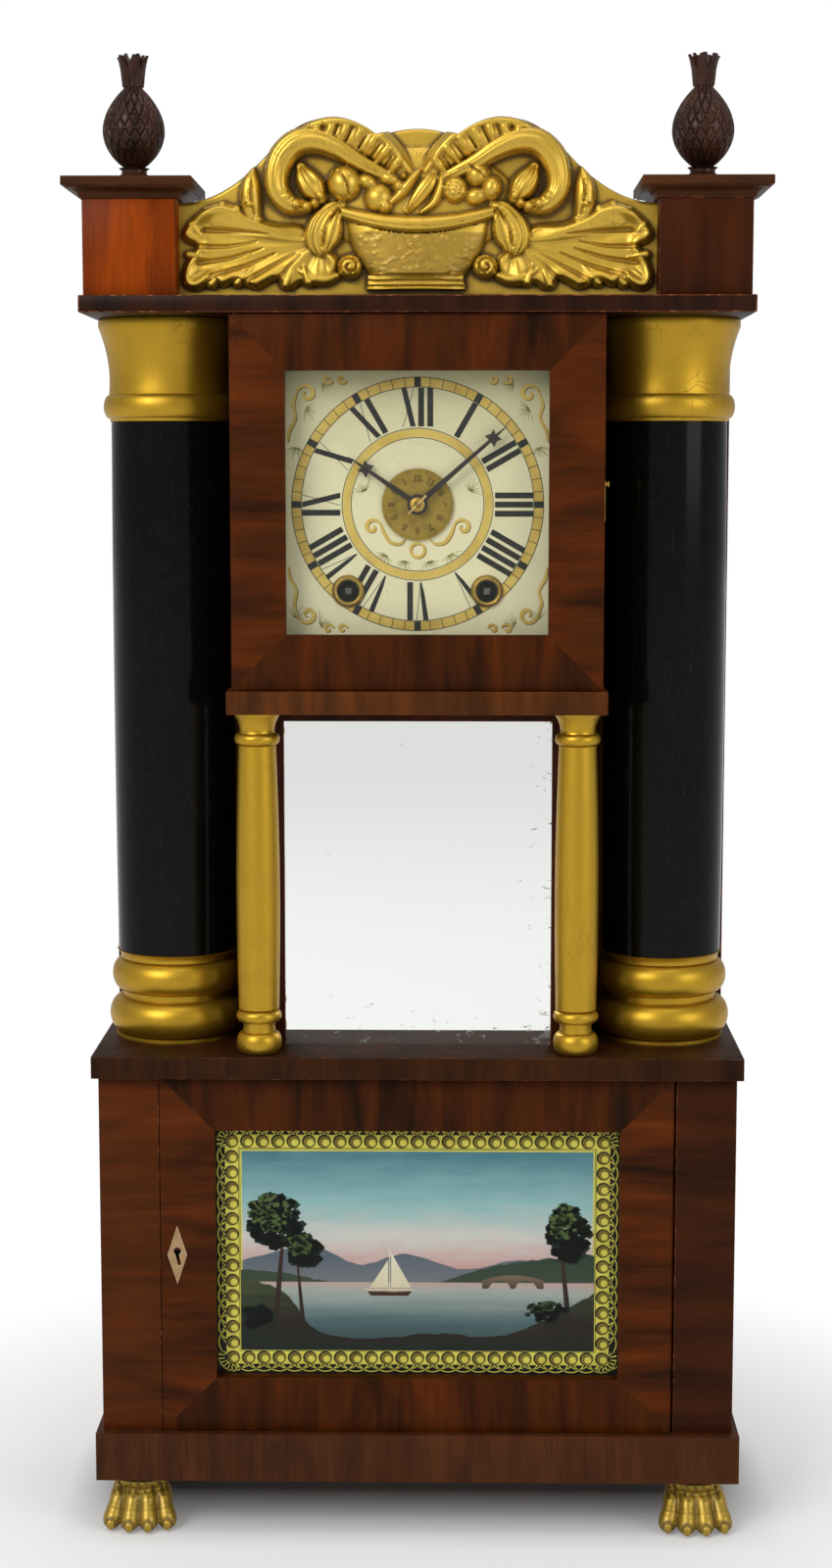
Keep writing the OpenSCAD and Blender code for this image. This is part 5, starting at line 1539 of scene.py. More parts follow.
        # Hollow values for the gilding: patina where a point lies below its blurred neighbours, and a painted
        # shade over the basket's bowl, which faces down.
        blur = height.copy()
        for _ in range(14):
            total = blur
            for way, side in ((1, 0), (-1, 0), (1, 1), (-1, 1)):
                total = total + np.roll(blur, way, side)
            blur = total / 5
        hollow = np.clip((blur - height) / 1.6, 0, 1) * 0.9
        bowl = (z > 14) & (z < 39) & (np.abs(x) < 29 + 0.62 * (z - 14))
        hollow = np.maximum(hollow, 0.45 * bowl)
        rows, columns = height.shape
        places = zip(x.ravel(), height.ravel(), z.ravel())
        front = [at(a, self.ground - b, SHELF_TOP + c) for a, b, c in places]
        border = [(0, j) for j in range(columns)] + [(i, columns - 1) for i in range(1, rows)]
        border += [(rows - 1, j) for j in reversed(range(columns - 1))]
        border += [(i, 0) for i in reversed(range(1, rows - 1))]
        rear = [at(x[i, j], self.back, SHELF_TOP + z[i, j]) for i, j in border]
        faces = [
            (i * columns + j, i * columns + j + 1, (i + 1) * columns + j + 1, (i + 1) * columns + j)
            for i in range(rows - 1) for j in range(columns - 1)
        ]
        first = rows * columns
        ring = [i * columns + j for i, j in border]
        for k in range(len(ring)):
            n = (k + 1) % len(ring)
            faces.append((ring[n], ring[k], first + k, first + n))
        faces.append(tuple(first + k for k in range(len(ring) - 1, -1, -1)))
        piece = Bench.mesh("carved_crest", front + rear, faces)
        Bench.hollows(piece, np.concatenate([hollow.ravel(), np.zeros(len(rear))]))
        Bench.weld(piece, merge=False)
        Bench.smooth(piece, 60)
        dress(piece, Finish.CARVED_GILT)
        hand_over(piece, "case", "gilt", "splat")


@dataclass
class Plinths:
    """The two veneered plinths, their moulded caps and the carved pineapples on them.

    Attributes:
        over: How far a cap stands out.
        cap: Height of a cap.
        spirals: Lines that wind round a pineapple each way.
        leaves: Leaves of its crown.
    """

    over: float = 11.4
    cap: float = 12.5
    spirals: int = 18
    leaves: int = 6

    def build(self) -> None:
        """Builds both sides."""
        caps, fruits = [], []
        for side, finish, name in ((-1, Finish.ORANGE, "left_plinth"), (1, Finish.PLUM, "right_plinth")):
            block = Bench.copy("plinths", name, side)
            dress(block, finish, Finish.EDGE)
            Bench.ease(block, 0.4)
            Bench.smooth(block, SAWN)
            hand_over(block, "case", "orange_mahogany" if side < 0 else "dark_mahogany", "plinths")
            low, high = (Vector(corner) for corner in self.extent(block))
            middle = Vector(((low.x + high.x) / 2, (low.y + high.y) / 2, high.z))
            width, depth = (high.x - low.x) / MM, (high.y - low.y) / MM
            caps.append(self.moulding(middle, width, depth))
            fruits.append(self.pineapple(middle + Vector((0, 0, self.cap * MM)), side))
        piece = Bench.join("moulded_caps", caps)
        dress(piece, Finish.CAP, Finish.EDGE)
        Bench.ease(piece, 0.35, corner=55)
        Bench.smooth(piece, 40)
        hand_over(piece, "case", "dark_mahogany", "plinth_caps")
        piece = Bench.join("carved_pineapples", fruits)
        dress(piece, Finish.WALNUT)
        hand_over(piece, "case", "walnut", "finials")

    @staticmethod
    def extent(piece: bpy.types.Object) -> tuple[Vector, Vector]:
        """Lowest and highest corner of a piece."""
        points = np.array([vertex.co for vertex in piece.data.vertices])
        return Vector(points.min(0)), Vector(points.max(0))

    def moulding(self, foot: Vector, width: float, depth: float) -> bpy.types.Object:
        """A cap: a fillet, a cove that sweeps out, a bead line and a flat slab.

        Args:
            foot: Middle of its foot.
            width: Width of the plinth.
            depth: Depth of the plinth.

        Returns:
            The cap.
        """
        levels = [(0.0, 1.2), (0.9, 1.4)]
        for t in shares(8):
            angle = t * math.pi / 2
            levels.append((0.9 + 4.9 * math.sin(angle), 1.6 + 7.4 * (1 - math.cos(angle))))
        over = self.over - 0.1
        levels += [(6.6, 9.2), (6.8, over - 0.3), (7.4, over), (self.cap - 0.5, over), (self.cap, over - 0.5)]
        return Bench.courses("cap", foot, [(h, width + 2 * out, depth + 2 * out) for h, out in levels])

    def pineapple(self, foot: Vector, side: int) -> bpy.types.Object:
        """A pineapple: a turned foot, a body cut with a lattice, and a crown of leaves.

        Args:
            foot: Middle of its foot.
            side: -1 or 1 for the left or right one.

        Returns:
            The pineapple.
        """
        stem = [(0, 0), (14.6, 0), (15.5, 0.7), (15.5, 1.9), (14.6, 2.8), (12.2, 3.6), (9, 4.6), (7.8, 5.8),
                (7.9, 7.6), (9.6, 8.8), (0, 9.6)]
        parts = [Bench.turn("foot", stem, foot, steps=64)]
        around, high = 216, 96
        points, faces = [], []
        for i in range(high + 1):
            t = i / high
            radius = max(5.6, 18.9 * math.sin(math.pi * t ** 0.88) ** 0.72) if 0 < t < 1 else 5.6
            for j in range(around):
                a = math.tau * j / around
                one = abs(math.sin(self.spirals * a / 2 + 13.5 * t))
                two = abs(math.sin(self.spirals * a / 2 - 13.5 * t))
                boss = min(1.0, min(one, two) * 2.4)
                out = radius - 0.9 + 1.3 * boss
                points.append(foot + Vector((out * math.cos(a), out * math.sin(a), 7 + 54 * t)) * MM)
        for i in range(high):
            for j in range(around):
                k = (j + 1) % around
                faces.append((i * around + j, i * around + k, (i + 1) * around + k, (i + 1) * around + j))
        faces.append(tuple(range(around - 1, -1, -1)))
        faces.append(tuple(high * around + j for j in range(around)))
        parts.append(Bench.mesh("body", points, faces))
        whorls = ((self.leaves, 9.4, 18.6), (self.leaves - 1, 6.0, 19.6))
        for whorl, (count, spread, rise) in enumerate(whorls):
            for k in range(count):
                angle = math.tau * (k + 0.5 * whorl) / count + 0.3 * side
                parts.append(self.crown_leaf(foot + Vector((0, 0, 58.5 * MM)), angle, spread, rise))
        fruit = Bench.join("pineapple", parts)
        Bench.weld(fruit)
        return Bench.smooth(fruit, 50)

    def crown_leaf(self, foot: Vector, angle: float, spread: float, rise: float) -> bpy.types.Object:
        """One pointed leaf that leans outwards, creased down its middle.

        Args:
            foot: Middle of the crown's foot.
            angle: Its direction, in radians.
            spread: How far its point stands out.
            rise: How far its point stands up.

        Returns:
            The leaf.
        """
        steps = 8
        points, faces = [], []
        turn = Matrix.Rotation(angle, 4, "Z")
        for i in range(steps + 1):
            t = i / steps
            out = 4.8 + (spread - 4.8) * t ** 1.8
            up = rise * (t - 0.06 * t ** 3) / 0.94
            half = 3.9 * math.sin(math.pi * min(1, 0.35 + 0.62 * t)) ** 0.8 + 0.2
            for across, dip in ((-1, 0.0), (-0.5, 0.5), (0, 0.9), (0.5, 0.5), (1, 0.0)):
                points.append(foot + turn @ Vector((out + dip, across * half, up)) * MM)
        for i in range(steps):
            for j in range(4):
                a = i * 5 + j
                faces.append((a, a + 1, a + 6, a + 5))
        leaf = Bench.mesh("leaf", points, faces)
        Bench.modify(leaf, "SOLIDIFY", thickness=1.3 * MM, offset=0)
        Bench.weld(leaf)
        return leaf


@dataclass
class Paws:
    """The two hairy paw feet: a swelling of toes with nails, and a fringe of hair behind them.

    Attributes:
        across: Place of a foot from the middle.
        toe: Place of a nail across, for a toe that is one step from the middle.
        nail: Height of the nails.
        voxel: Size of the cells that fuse the forms.
    """

    across: float = 181.7
    toe: float = 12.3
    nail: float = 4.8
    voxel: float = 0.7

    def build(self) -> None:
        """Builds both feet."""
        feet = [self.paw(side) for side in (-1, 1)]
        piece = Bench.join("carved_paws", feet)
        dress(piece, Finish.PAW_GILT)
        hand_over(piece, "case", "gilt", "paw_feet")

    def ball(self, place: Sequence[float], size: Sequence[float], lean: float = 0.0) -> bpy.types.Object:
        """A rounded form at a place, drawn out to a size and leant sideways.

        Args:
            place: Its middle.
            size: Its half sizes.
            lean: Its turn, in degrees.

        Returns:
            The form.
        """
        Bench.take()
        bpy.ops.mesh.primitive_uv_sphere_add(segments=32, ring_count=20, radius=MM)
        form = bpy.context.object
        Bench.open(form)
        bpy.ops.transform.resize(value=tuple(size))
        bpy.ops.transform.rotate(value=math.radians(lean), orient_axis="Y", center_override=(0, 0, 0))
        bpy.ops.transform.translate(value=at(*place))
        Bench.close()
        return form

    def paw(self, side: int) -> bpy.types.Object:
        """One paw.

        Args:
            side: -1 or 1 for the left or right one.

        Returns:
            The paw.
        """
        x = side * self.across
        forms = [
            self.ball((x, 29, 20), (15.5, 14, 13)), self.ball((x, 26.5, 31), (19.3, 15.5, 8)),
            self.ball((x, 34, 11), (15.5, 12, 10.5)),
        ]
        toes = ((-1.5, 13.0), (-0.5, 8.8), (0.5, 8.8), (1.5, 13.0))
        for out, ahead in toes:
            for share in shares(8):
                swell = 0.35 * math.cos(math.tau * (share - 0.12) * 1.5)
                place = (x + out * (12.1 - 3.6 * share), ahead + 14 * share ** 1.15, 6.2 + 18.5 * share)
                forms.append(self.ball(place, (5.9 + swell, 6.6 + swell, 5.9)))
        foot = Bench.join("paw", forms)
        Bench.modify(foot, "REMESH", mode="VOXEL", voxel_size=self.voxel * MM)
        Bench.modify(foot, "SMOOTH", factor=0.6, iterations=4)
        self.carve(foot, x, toes)
        nails = []
        for out, ahead in toes:
            nail = self.ball((x + out * self.toe, ahead - 5.9, self.nail), (2.8, 2.0, 3.5), out * -5)
            Bench.hollows(nail, np.zeros(len(nail.data.vertices)))
            nails.append(nail)
        foot = Bench.join("paw", [foot, *nails])
        return Bench.smooth(foot, 60)

    def carve(self, foot: bpy.types.Object, x: float, toes: Sequence[Sequence[float]]) -> None:
        """Cuts the hair into the paw above its toes, trims it to its box and paints shade into its cuts,
        between its toes, round its nails and towards its foot.

        Args:
            foot: The paw.
            x: Its middle across.
            toes: Place across and depth of each toe.
        """
        low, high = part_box("paw_feet")
        points, normals = self.read(foot, "co"), self.read(foot, "normal")
        u = points[:, 0] / MM - x
        v = points[:, 2] / MM
        d = (points[:, 1] - FRONT_Y) / MM
        lock = np.sin(u * 1.15 + 0.05 * v + 1.4 * np.sin(v * 0.23)) * np.cos(d * 0.35)
        hair = np.clip((v - 21) / 4, 0, 1) * np.clip((33.5 - v) / 2, 0, 1) * np.clip((34 - d) / 6, 0.25, 1)
        cut = np.clip(0.5 - 0.5 * lock, 0, 1) ** 2 * 1.9 * hair
        groove = 1.5 * np.exp(-((v - 33.2) / 0.7) ** 2)
        points -= normals * ((cut + groove) * MM)[:, None]
        points[:, 2] = np.clip(points[:, 2], 0, high.z)
        points[:, 1] = np.clip(points[:, 1], low.y, high.y)
        foot.data.vertices.foreach_set("co", points.ravel())
        # Painted shade: dark lines between the toes, dark rings round the nails, darker hair cuts and band,
        # and a darker bottom.
        cleft_shade = np.exp(-((np.abs(np.abs(u) - 6.1) - 6.1) / 1.3) ** 2) * np.clip((25 - v) / 5, 0, 1) * 0.75
        for out, ahead in toes:
            off = np.hypot((u - out * self.toe) / 2.9, (v - self.nail) / 3.6)
            cleft_shade = np.maximum(cleft_shade, 0.8 * np.exp(-((off - 1.2) / 0.25) ** 2) * (d < ahead))
        sole_shade = np.clip((3 - v) / 6, 0, 0.4)
        Bench.hollows(foot, np.clip(0.6 * cut + 0.5 * groove + cleft_shade + sole_shade, 0, 0.9))
        foot.data.update()

    @staticmethod
    def read(piece: bpy.types.Object, value: str) -> np.ndarray:
        """Reads "co" or "normal" of every point of a piece, one row to a point.

        Args:
            piece: The piece.
            value: What is read.

        Returns:
            The values.
        """
        values = np.zeros(len(piece.data.vertices) * 3)
        piece.data.vertices.foreach_get(value, values)
        return values.reshape(-1, 3)


class Sheet:
    """Flat shapes on an upright plane, gathered into one thin piece."""

    def __init__(self, name: str, depth: float) -> None:
        """Starts an empty sheet at a depth behind the ledge's front.

        Args:
            name: The piece's name.
            depth: The depth, in millimetres.
        """
        self.name, self.depth = name, depth
        self.points: list[tuple[float, float]] = []
        self.faces: list[tuple[int, ...]] = []
        self.holes: list[tuple[float, float, float]] = []

    def patch(self, outline: Outline) -> None:
        """A filled shape from the points of its edge.

        Args:
            outline: The points.
        """
        first = len(self.points)
        self.points += [tuple(point) for point in outline]
        self.faces.append(tuple(range(first, first + len(outline))))

    def disc(self, x: float, z: float, radius: float, steps: int = 20) -> None:
        """A filled circle."""
        angles = [math.tau * i / steps for i in range(steps)]
        self.patch([(x + radius * math.cos(a), z + radius * math.sin(a)) for a in angles])

    def ribbon(self, path: Sequence[Sequence[float]]) -> None:
        """A band along points of x, z and half width.

        Args:
            path: The points.
        """
        rows = np.array(path, float)
        run = np.gradient(rows[:, :2], axis=0)
        run /= np.maximum(np.hypot(run[:, 0], run[:, 1]), 1e-9)[:, None]
        side = np.stack([-run[:, 1], run[:, 0]], 1) * rows[:, 2:3]
        first = len(self.points)
        for middle, out in zip(rows[:, :2], side):
            self.points += [tuple(middle + out), tuple(middle - out)]
        for i in range(len(rows) - 1):
            a = first + 2 * i
            self.faces.append((a, a + 1, a + 3, a + 2))

    def ring(self, x: float, z: float, radius: float, width: float, start: float = 0, sweep: float = 360,
             steps: int = 120) -> None:
        """A band round part of a circle, its radius to the middle of the band."""
        angles = [math.radians(start + sweep * i / steps) for i in range(steps + 1)]
        self.ribbon([(x + radius * math.cos(a), z + radius * math.sin(a), width / 2) for a in angles])

    def mesh(self) -> bpy.types.Object:
        """The sheet's shapes as a piece without thickness."""
        return Bench.mesh(self.name, [at(x, self.depth, z) for x, z in self.points], self.faces)

    @staticmethod
    def thicken(piece: bpy.types.Object, thick: float) -> None:
        """Turns a flat piece's faces to the front and gives it a thickness behind them.

        Args:
            piece: The piece.
            thick: The thickness, in millimetres.
        """
        for face in [face for face in piece.data.polygons if face.normal.y > 0]:
            face.flip()
        piece.data.update()
        Bench.modify(piece, "SOLIDIFY", thickness=thick * MM, offset=-1)

    @staticmethod
    def punch(piece: bpy.types.Object, x: float, z: float, radius: float) -> None:
        """Cuts a round hole: straight cuts all round it, then what they close in is deleted.

        Args:
            piece: The piece.
            x: Middle across.
            z: Middle up.
            radius: Radius of the hole.
        """
        middle = at(x, 0, z)
        for k in range(PUNCH_CUTS):
            angle = math.tau * (k + 0.5) / PUNCH_CUTS
            out = Vector((math.cos(angle), 0, math.sin(angle)))
            Bench.open(piece)
            bpy.ops.mesh.bisect(plane_co=middle + radius * MM * out, plane_no=out)
            Bench.close()
        Bench.open(piece, False)
        bpy.ops.mesh.select_mode(type="FACE")
        Bench.close()
        for face in piece.data.polygons:
            off = face.center - middle
            face.select = math.hypot(off.x, off.z) < radius * MM
        bpy.ops.object.mode_set(mode="EDIT")
        bpy.ops.mesh.delete(type="FACE")
        Bench.close()

    def build(self, body: str, slot: str, finish: Finish, thick: float = 0.06) -> None:
        """Makes the sheet's piece.

        Args:
            body: The body that it rides on.
            slot: Its material slot.
            finish: Its finish.
            thick: Its thickness, in millimetres, behind the plane.
        """
        piece = self.mesh()
        Bench.weld(piece, merge=False)
        for hole in self.holes:
            self.punch(piece, *hole)
        self.thicken(piece, thick)
        dress(piece, finish)
        hand_over(piece, body, slot)


@dataclass
class Dial:
    """The painted dial with its numerals, rings and scrolls, the grommets and the alarm disc.

    Attributes:
        z: Height of its middle.
        face: Depth of its painted face.
        band: Middle radius of the outer gilt ring.
        foot: Radius of the feet of the numerals.
        head: Radius of their heads.
        rim: Outer radius of a winding grommet.
        hole: Radius of the holes that the paint leaves for the grommets.
        studs: Radius of the ring of studs on the alarm disc.
        numbers: Radius of the ring of its numbers.
    """

    z: float = 667.0
    face: float = 27.0
    band: float = 76.2
    foot: float = 48.6
    head: float = 72.6
    rim: float = 10.3
    hole: float = 8.4
    studs: float = 20.8
    numbers: float = 16.2

    def build(self) -> None:
        """Builds the painted dial and what is set in it."""
        board = Bench.copy("dial", "painted_dial")
        dress(board, Finish.DIAL)
        hand_over(board, "case", "painted_dial", "dial")
        depths = (("gilding", 0.04), ("numerals", 0.08), ("shading", 0.02), ("sprigs", 0.02))
        gold, black, shade, sprigs = (Sheet(f"dial_{name}", self.face - before) for name, before in depths)
        gold.ring(0, self.z, self.band, 5.6, steps=180)
        gold.ring(0, self.z, 44.6, 5.0, steps=140)
        for radius, width in ((79.2, 0.5), (73.1, 0.5), (47.5, 0.45), (41.7, 0.45)):
            black.ring(0, self.z, radius, width, steps=180)
        for minute in range(60):
            angle = math.radians(6 * minute)
            self.radial(black, angle, self.band - 2.8, self.band + 2.8, 2.1 if minute % 5 == 0 else 0.22)
        for hour, text in enumerate("XII I II III IIII V VI VII VIII IX X XI".split()):
            self.numeral(black, text, math.radians(30 * hour))
        self.scrolls(gold, shade, sprigs)
        x, z = self.grommet()
        for sheet, finish in ((sprigs, Finish.DIAL_SPRIG), (gold, Finish.DIAL_GOLD),
                              (shade, Finish.DIAL_SHADE), (black, Finish.DIAL_BLACK)):
            sheet.holes = [(side * x, z, self.hole) for side in (-1, 1)]
            sheet.build("case", "painted_dial", finish)
        self.fittings()

    def grommet(self) -> tuple[float, float]:
        """Place of the right grommet's middle, across and up."""
        low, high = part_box("winding_grommets")
        return high.x / MM - self.rim, (low.z + high.z) / 2 / MM

    def spot(self, angle: float, radius: float, side: float) -> tuple[float, float]:
        """A place from a clockwise angle, a radius, and a distance to the right of it."""
        s, c = math.sin(angle), math.cos(angle)
        return (radius * s + side * c, self.z + radius * c - side * s)

    def radial(self, sheet: Sheet, angle: float, low: float, high: float, half: float) -> None:
        """An upright bar across a ring."""
        corners = ((low, -half), (low, half), (high, half), (high, -half))
        sheet.patch([self.spot(angle, radius, side) for radius, side in corners])

    def numeral(self, sheet: Sheet, text: str, angle: float) -> None:
        """A Roman numeral with thick and thin strokes.

        Args:
            sheet: Where it is drawn.
            text: The numeral.
            angle: Its clockwise angle from the top.
        """
        widths = {"I": 5.7, "V": 9.4, "X": 10.2}
        place = -sum(widths[letter] for letter in text) / 2
        for letter in text:
            middle = place + widths[letter] / 2
            strokes = {
                "I": ((0, 0, 1.85, 1.85),),
                "V": ((-2.5, 0.7, 1.7, 0.3), (3.4, 1.0, 0.2, 0.2)),
                "X": ((-2.9, 2.9, 1.7, 1.7), (3.3, -3.3, 0.2, 0.2)),
            }[letter]
            for top, low, head, foot in strokes:
                half = (2 * head + foot) / 3
                knee, bend = 0.3 * top + 0.7 * low, 0.7 * self.foot + 0.3 * self.head
                corners = (
                    (self.foot, middle + low - foot), (self.foot, middle + low + foot),
                    (bend, middle + knee + half), (self.head, middle + top + head),
                    (self.head, middle + top - head), (bend, middle + knee - half),
                )
                sheet.patch([self.spot(angle, radius, side) for radius, side in corners])
            place += widths[letter]

    def curl(
        self, x: float, z: float, size: float, start: float, sweep: float, wide: float
    ) -> list[tuple[float, float, float]]:
        """Points of a scroll that tightens as it turns, swelling in its middle.

        Args:
            x: Its middle across.
            z: Its middle up.
            size: Its outer radius.
            start: The angle at its start.
            sweep: The angle that it turns through.
            wide: Greatest half width.

        Returns:
            Points of x, z and half width.
        """
        made = []
        for i in range(40):
            t = i / 39
            a = math.radians(start + sweep * t)
            r = size * (1 - 0.82 * t ** 0.8)
            half = 0.25 + wide * math.sin(math.pi * min(1, 0.15 + 0.85 * t)) ** 1.2
            made.append((x + r * math.cos(a), z + r * math.sin(a), half))
        return made

    def scrolls(self, gold: Sheet, shade: Sheet, sprigs: Sheet) -> None:
        """The gilt scrolls in the corners and below the alarm disc, each over its shading, and pale sprigs.

        Args:
            gold: The sheet of the gilding.
            shade: The sheet of the shading.
            sprigs: The sheet of the sprigs.
        """
        for sheet, shift in ((shade, 0.55), (gold, 0.0)):
            def stroke(across: int, up: int, path: Sequence[Sequence[float]]) -> None:
                """One stroke, mirrored to its side."""
                sheet.ribbon([(across * a + shift, self.z + up * b - shift, w) for a, b, w in path])

            side = spline([(75.9, 69.5, 0.5), (78.0, 62, 1.0), (76.6, 54, 0.8), (80.5, 46, 1.0),
                           (81.6, 39, 0.3)], 8)
            stem = spline([(23.3, 12.2, 0.5), (21, 18, 1.1), (17, 23.5, 1.1), (11, 24.5, 0.8), (7.5, 21, 0.3)],
                          8)
            for across in (-1, 1):
                for up in (-1, 1):
                    stroke(across, up, self.curl(69.5, 69, 6.4, 10, 420, 1.1))
                    stroke(across, up, side)
                    for x, size in ((56.5, 3.6), (47.5, 3.2)):
                        stroke(across, up, self.curl(x, 78, size, 190, 380, 0.7))
                stroke(across, -1, self.curl(28.5, 14, 5.6, 200, 400, 1.0))
                stroke(across, -1, stem)
            sheet.ring(shift, self.z - 28.5 - shift, 4.4, 1.7, steps=40)
        rng = np.random.default_rng(5)
        places = (
            (33, 8, 60), (-33, 8, 120), (20, -31, -60), (-20, -31, -120), (8, -35, -80), (-8, -35, -100),
            (62, -76, 150), (-62, -76, 30), (77, -72, 120), (-77, -72, 60), (60, 75, 200), (-60, 75, -20),
            (70, 60, 210), (-70, 60, -30), (76, 36, -80), (-76, 36, -100),
        )
        for x, z, heading in places:
            for k in range(11):
                a = math.radians(heading + 14 * (k - 5) + rng.normal(0, 4))
                size = rng.uniform(4.5, 9.5)
                sprigs.ribbon([
                    (x + s * size * math.cos(a), self.z + z + s * size * math.sin(a), 0.28 - 0.16 * s)
                    for s in (0.1, 0.55, 1.0)
                ])

    def fittings(self) -> None:
        """The brass grommets, the hands and the alarm disc with its raised numbers."""
        x, z = self.grommet()
        front = (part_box("winding_grommets")[0].y - FRONT_Y) / MM
        rim = [(6.5, 8), (6.5, 1.4), (7.1, 0.4), (8.2, 0.0), (9.3, 0.5), (self.rim, 2.2), (self.rim, 3.1),
               (7.4, 3.2), (7.4, 8)]
        pair = [Bench.turn("grommet", rim, at(side * x, front, z), Axis.DEEP, 56, ring=True)
                for side in (-1, 1)]
        piece = Bench.join("brass_grommets", pair)
        # Painted shade: the inside of each grommet's bore takes the black lacquer, for the shade down the
        # hole.
        dress(piece, Finish.BRASS, Finish.EBONIZED)
        for face in piece.data.polygons:
            near = Vector((abs(face.center.x) - x * MM, face.center.z - z * MM)).length
            face.material_index = int(near < 7.3 * MM and face.center.y > front * MM + FRONT_Y + 1.2 * MM)
        hand_over(piece, "case", "brass", "winding_grommets")
        for node in ("hour_hand", "minute_hand"):
            hand = Bench.copy(node, f"{node}_browned")
            dress(hand, Finish.HAND_IRON)
            Bench.ease(hand, 0.12, -1)
            Bench.smooth(hand, SAWN)
            hand_over(hand, node, "black_iron", node)
        self.alarm()

    def alarm(self) -> None:
        """The alarm disc: a scalloped brass plate with raised numbers that run the other way round."""
        disc = Bench.copy("alarm_disc", "alarm_plate")
        dress(disc, Finish.ALARM_BRASS)
        Bench.smooth(disc, SAWN)
        hand_over(disc, "alarm_disc", "brass", "alarm_disc")
        front = (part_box("alarm_disc")[0].y - FRONT_Y) / MM
        parts = []
        for k in range(48):
            a = math.tau * k / 48
            parts.append(self.stud(self.studs * math.sin(a), self.z + self.studs * math.cos(a), front))
        # Painted shade: each raised number has a darker, spread copy just behind it.
        shades = []
        for hour in range(1, 13):
            parts.append(self.number(hour, front - 0.12, 0.2, 0.0))
            shades.append(self.number(hour, front - 0.02, 0.06, 0.4))
        piece = Bench.join("alarm_numbers", parts)
        dress(piece, Finish.ALARM_BRASS)
        Bench.smooth(piece, 40)
        hand_over(piece, "alarm_disc", "brass")
        piece = Bench.join("alarm_number_shades", shades)
        dress(piece, Finish.DARK_BRASS)
        hand_over(piece, "alarm_disc", "brass")
        self.collet()

    def number(self, hour: int, depth: float, thick: float, spread: float) -> bpy.types.Object:
        """One of the alarm's numbers, set the other way round the disc.

        Args:
            hour: The number.
            depth: Depth of its middle.
            thick: Half its thickness.
            spread: How far its outline is spread.

        Returns:
            The number's mesh.
        """
        angle = -math.tau * hour / 12
        Bench.take()
        bpy.ops.object.text_add(location=(0, 0, 0))
        text = bpy.context.object
        text.data.body, text.data.size, text.data.extrude = str(hour), 5.2 * MM, thick * MM
        text.data.offset = spread * MM
        text.data.align_x, text.data.align_y = "CENTER", "CENTER"
        text.data.resolution_u = 3
        bpy.ops.object.convert(target="MESH")
        made = bpy.context.object
        made.data.materials.clear()
        x, z = self.spot(angle, self.numbers, 0)
        upright = Matrix.Rotation(angle, 4, "Y") @ Matrix.Rotation(math.pi / 2, 4, "X")
        made.data.transform(Matrix.Translation(at(x, depth, z)) @ upright)
        return made

    def collet(self) -> None:
        """The brass collet that holds the minute hand, and the taper pin through its arbor."""
        front = (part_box("minute_hand")[0].y - FRONT_Y) / MM
        outline = [(0, -2.2), (1.1, -2.1), (1.6, -1.5), (1.7, -0.7), (3.0, -0.6), (4.3, -0.3), (4.6, 0.0),
                   (4.6, 0.3), (0, 0.3)]
        piece = Bench.turn("hand_collet", outline, at(0, front, self.z), Axis.DEEP, 40)
        pin = [(0, -8), (0.4, -7.9), (0.8, 7.6), (0.6, 8), (0, 8)]
        taper = Bench.turn("taper_pin", pin, Vector(), steps=12)
        lean = Matrix.Rotation(math.radians(44), 4, "Y")
        taper.data.transform(Matrix.Translation(at(0, front - 1.5, self.z)) @ lean)
        # Painted highlight: the pin is paler brass than the collet, for its glint.
        dress(taper, Finish.PIN_BRASS)
        hand_over(taper, "minute_hand", "brass")
        dress(piece, Finish.BRASS)
        hand_over(piece, "minute_hand", "brass")

    def stud(self, x: float, z: float, front: float) -> bpy.types.Object:
        """A small raised dot on the alarm disc.

        Args:
            x: Its place across.
            z: Its height.
            front: Depth of the disc's face.

        Returns:
            The stud.
        """
        outline = [(0, -0.35), (0.35, -0.3), (0.6, -0.1), (0.65, 0.1), (0, 0.1)]
        return Bench.turn("stud", outline, at(x, front, z), Axis.DEEP, 8)


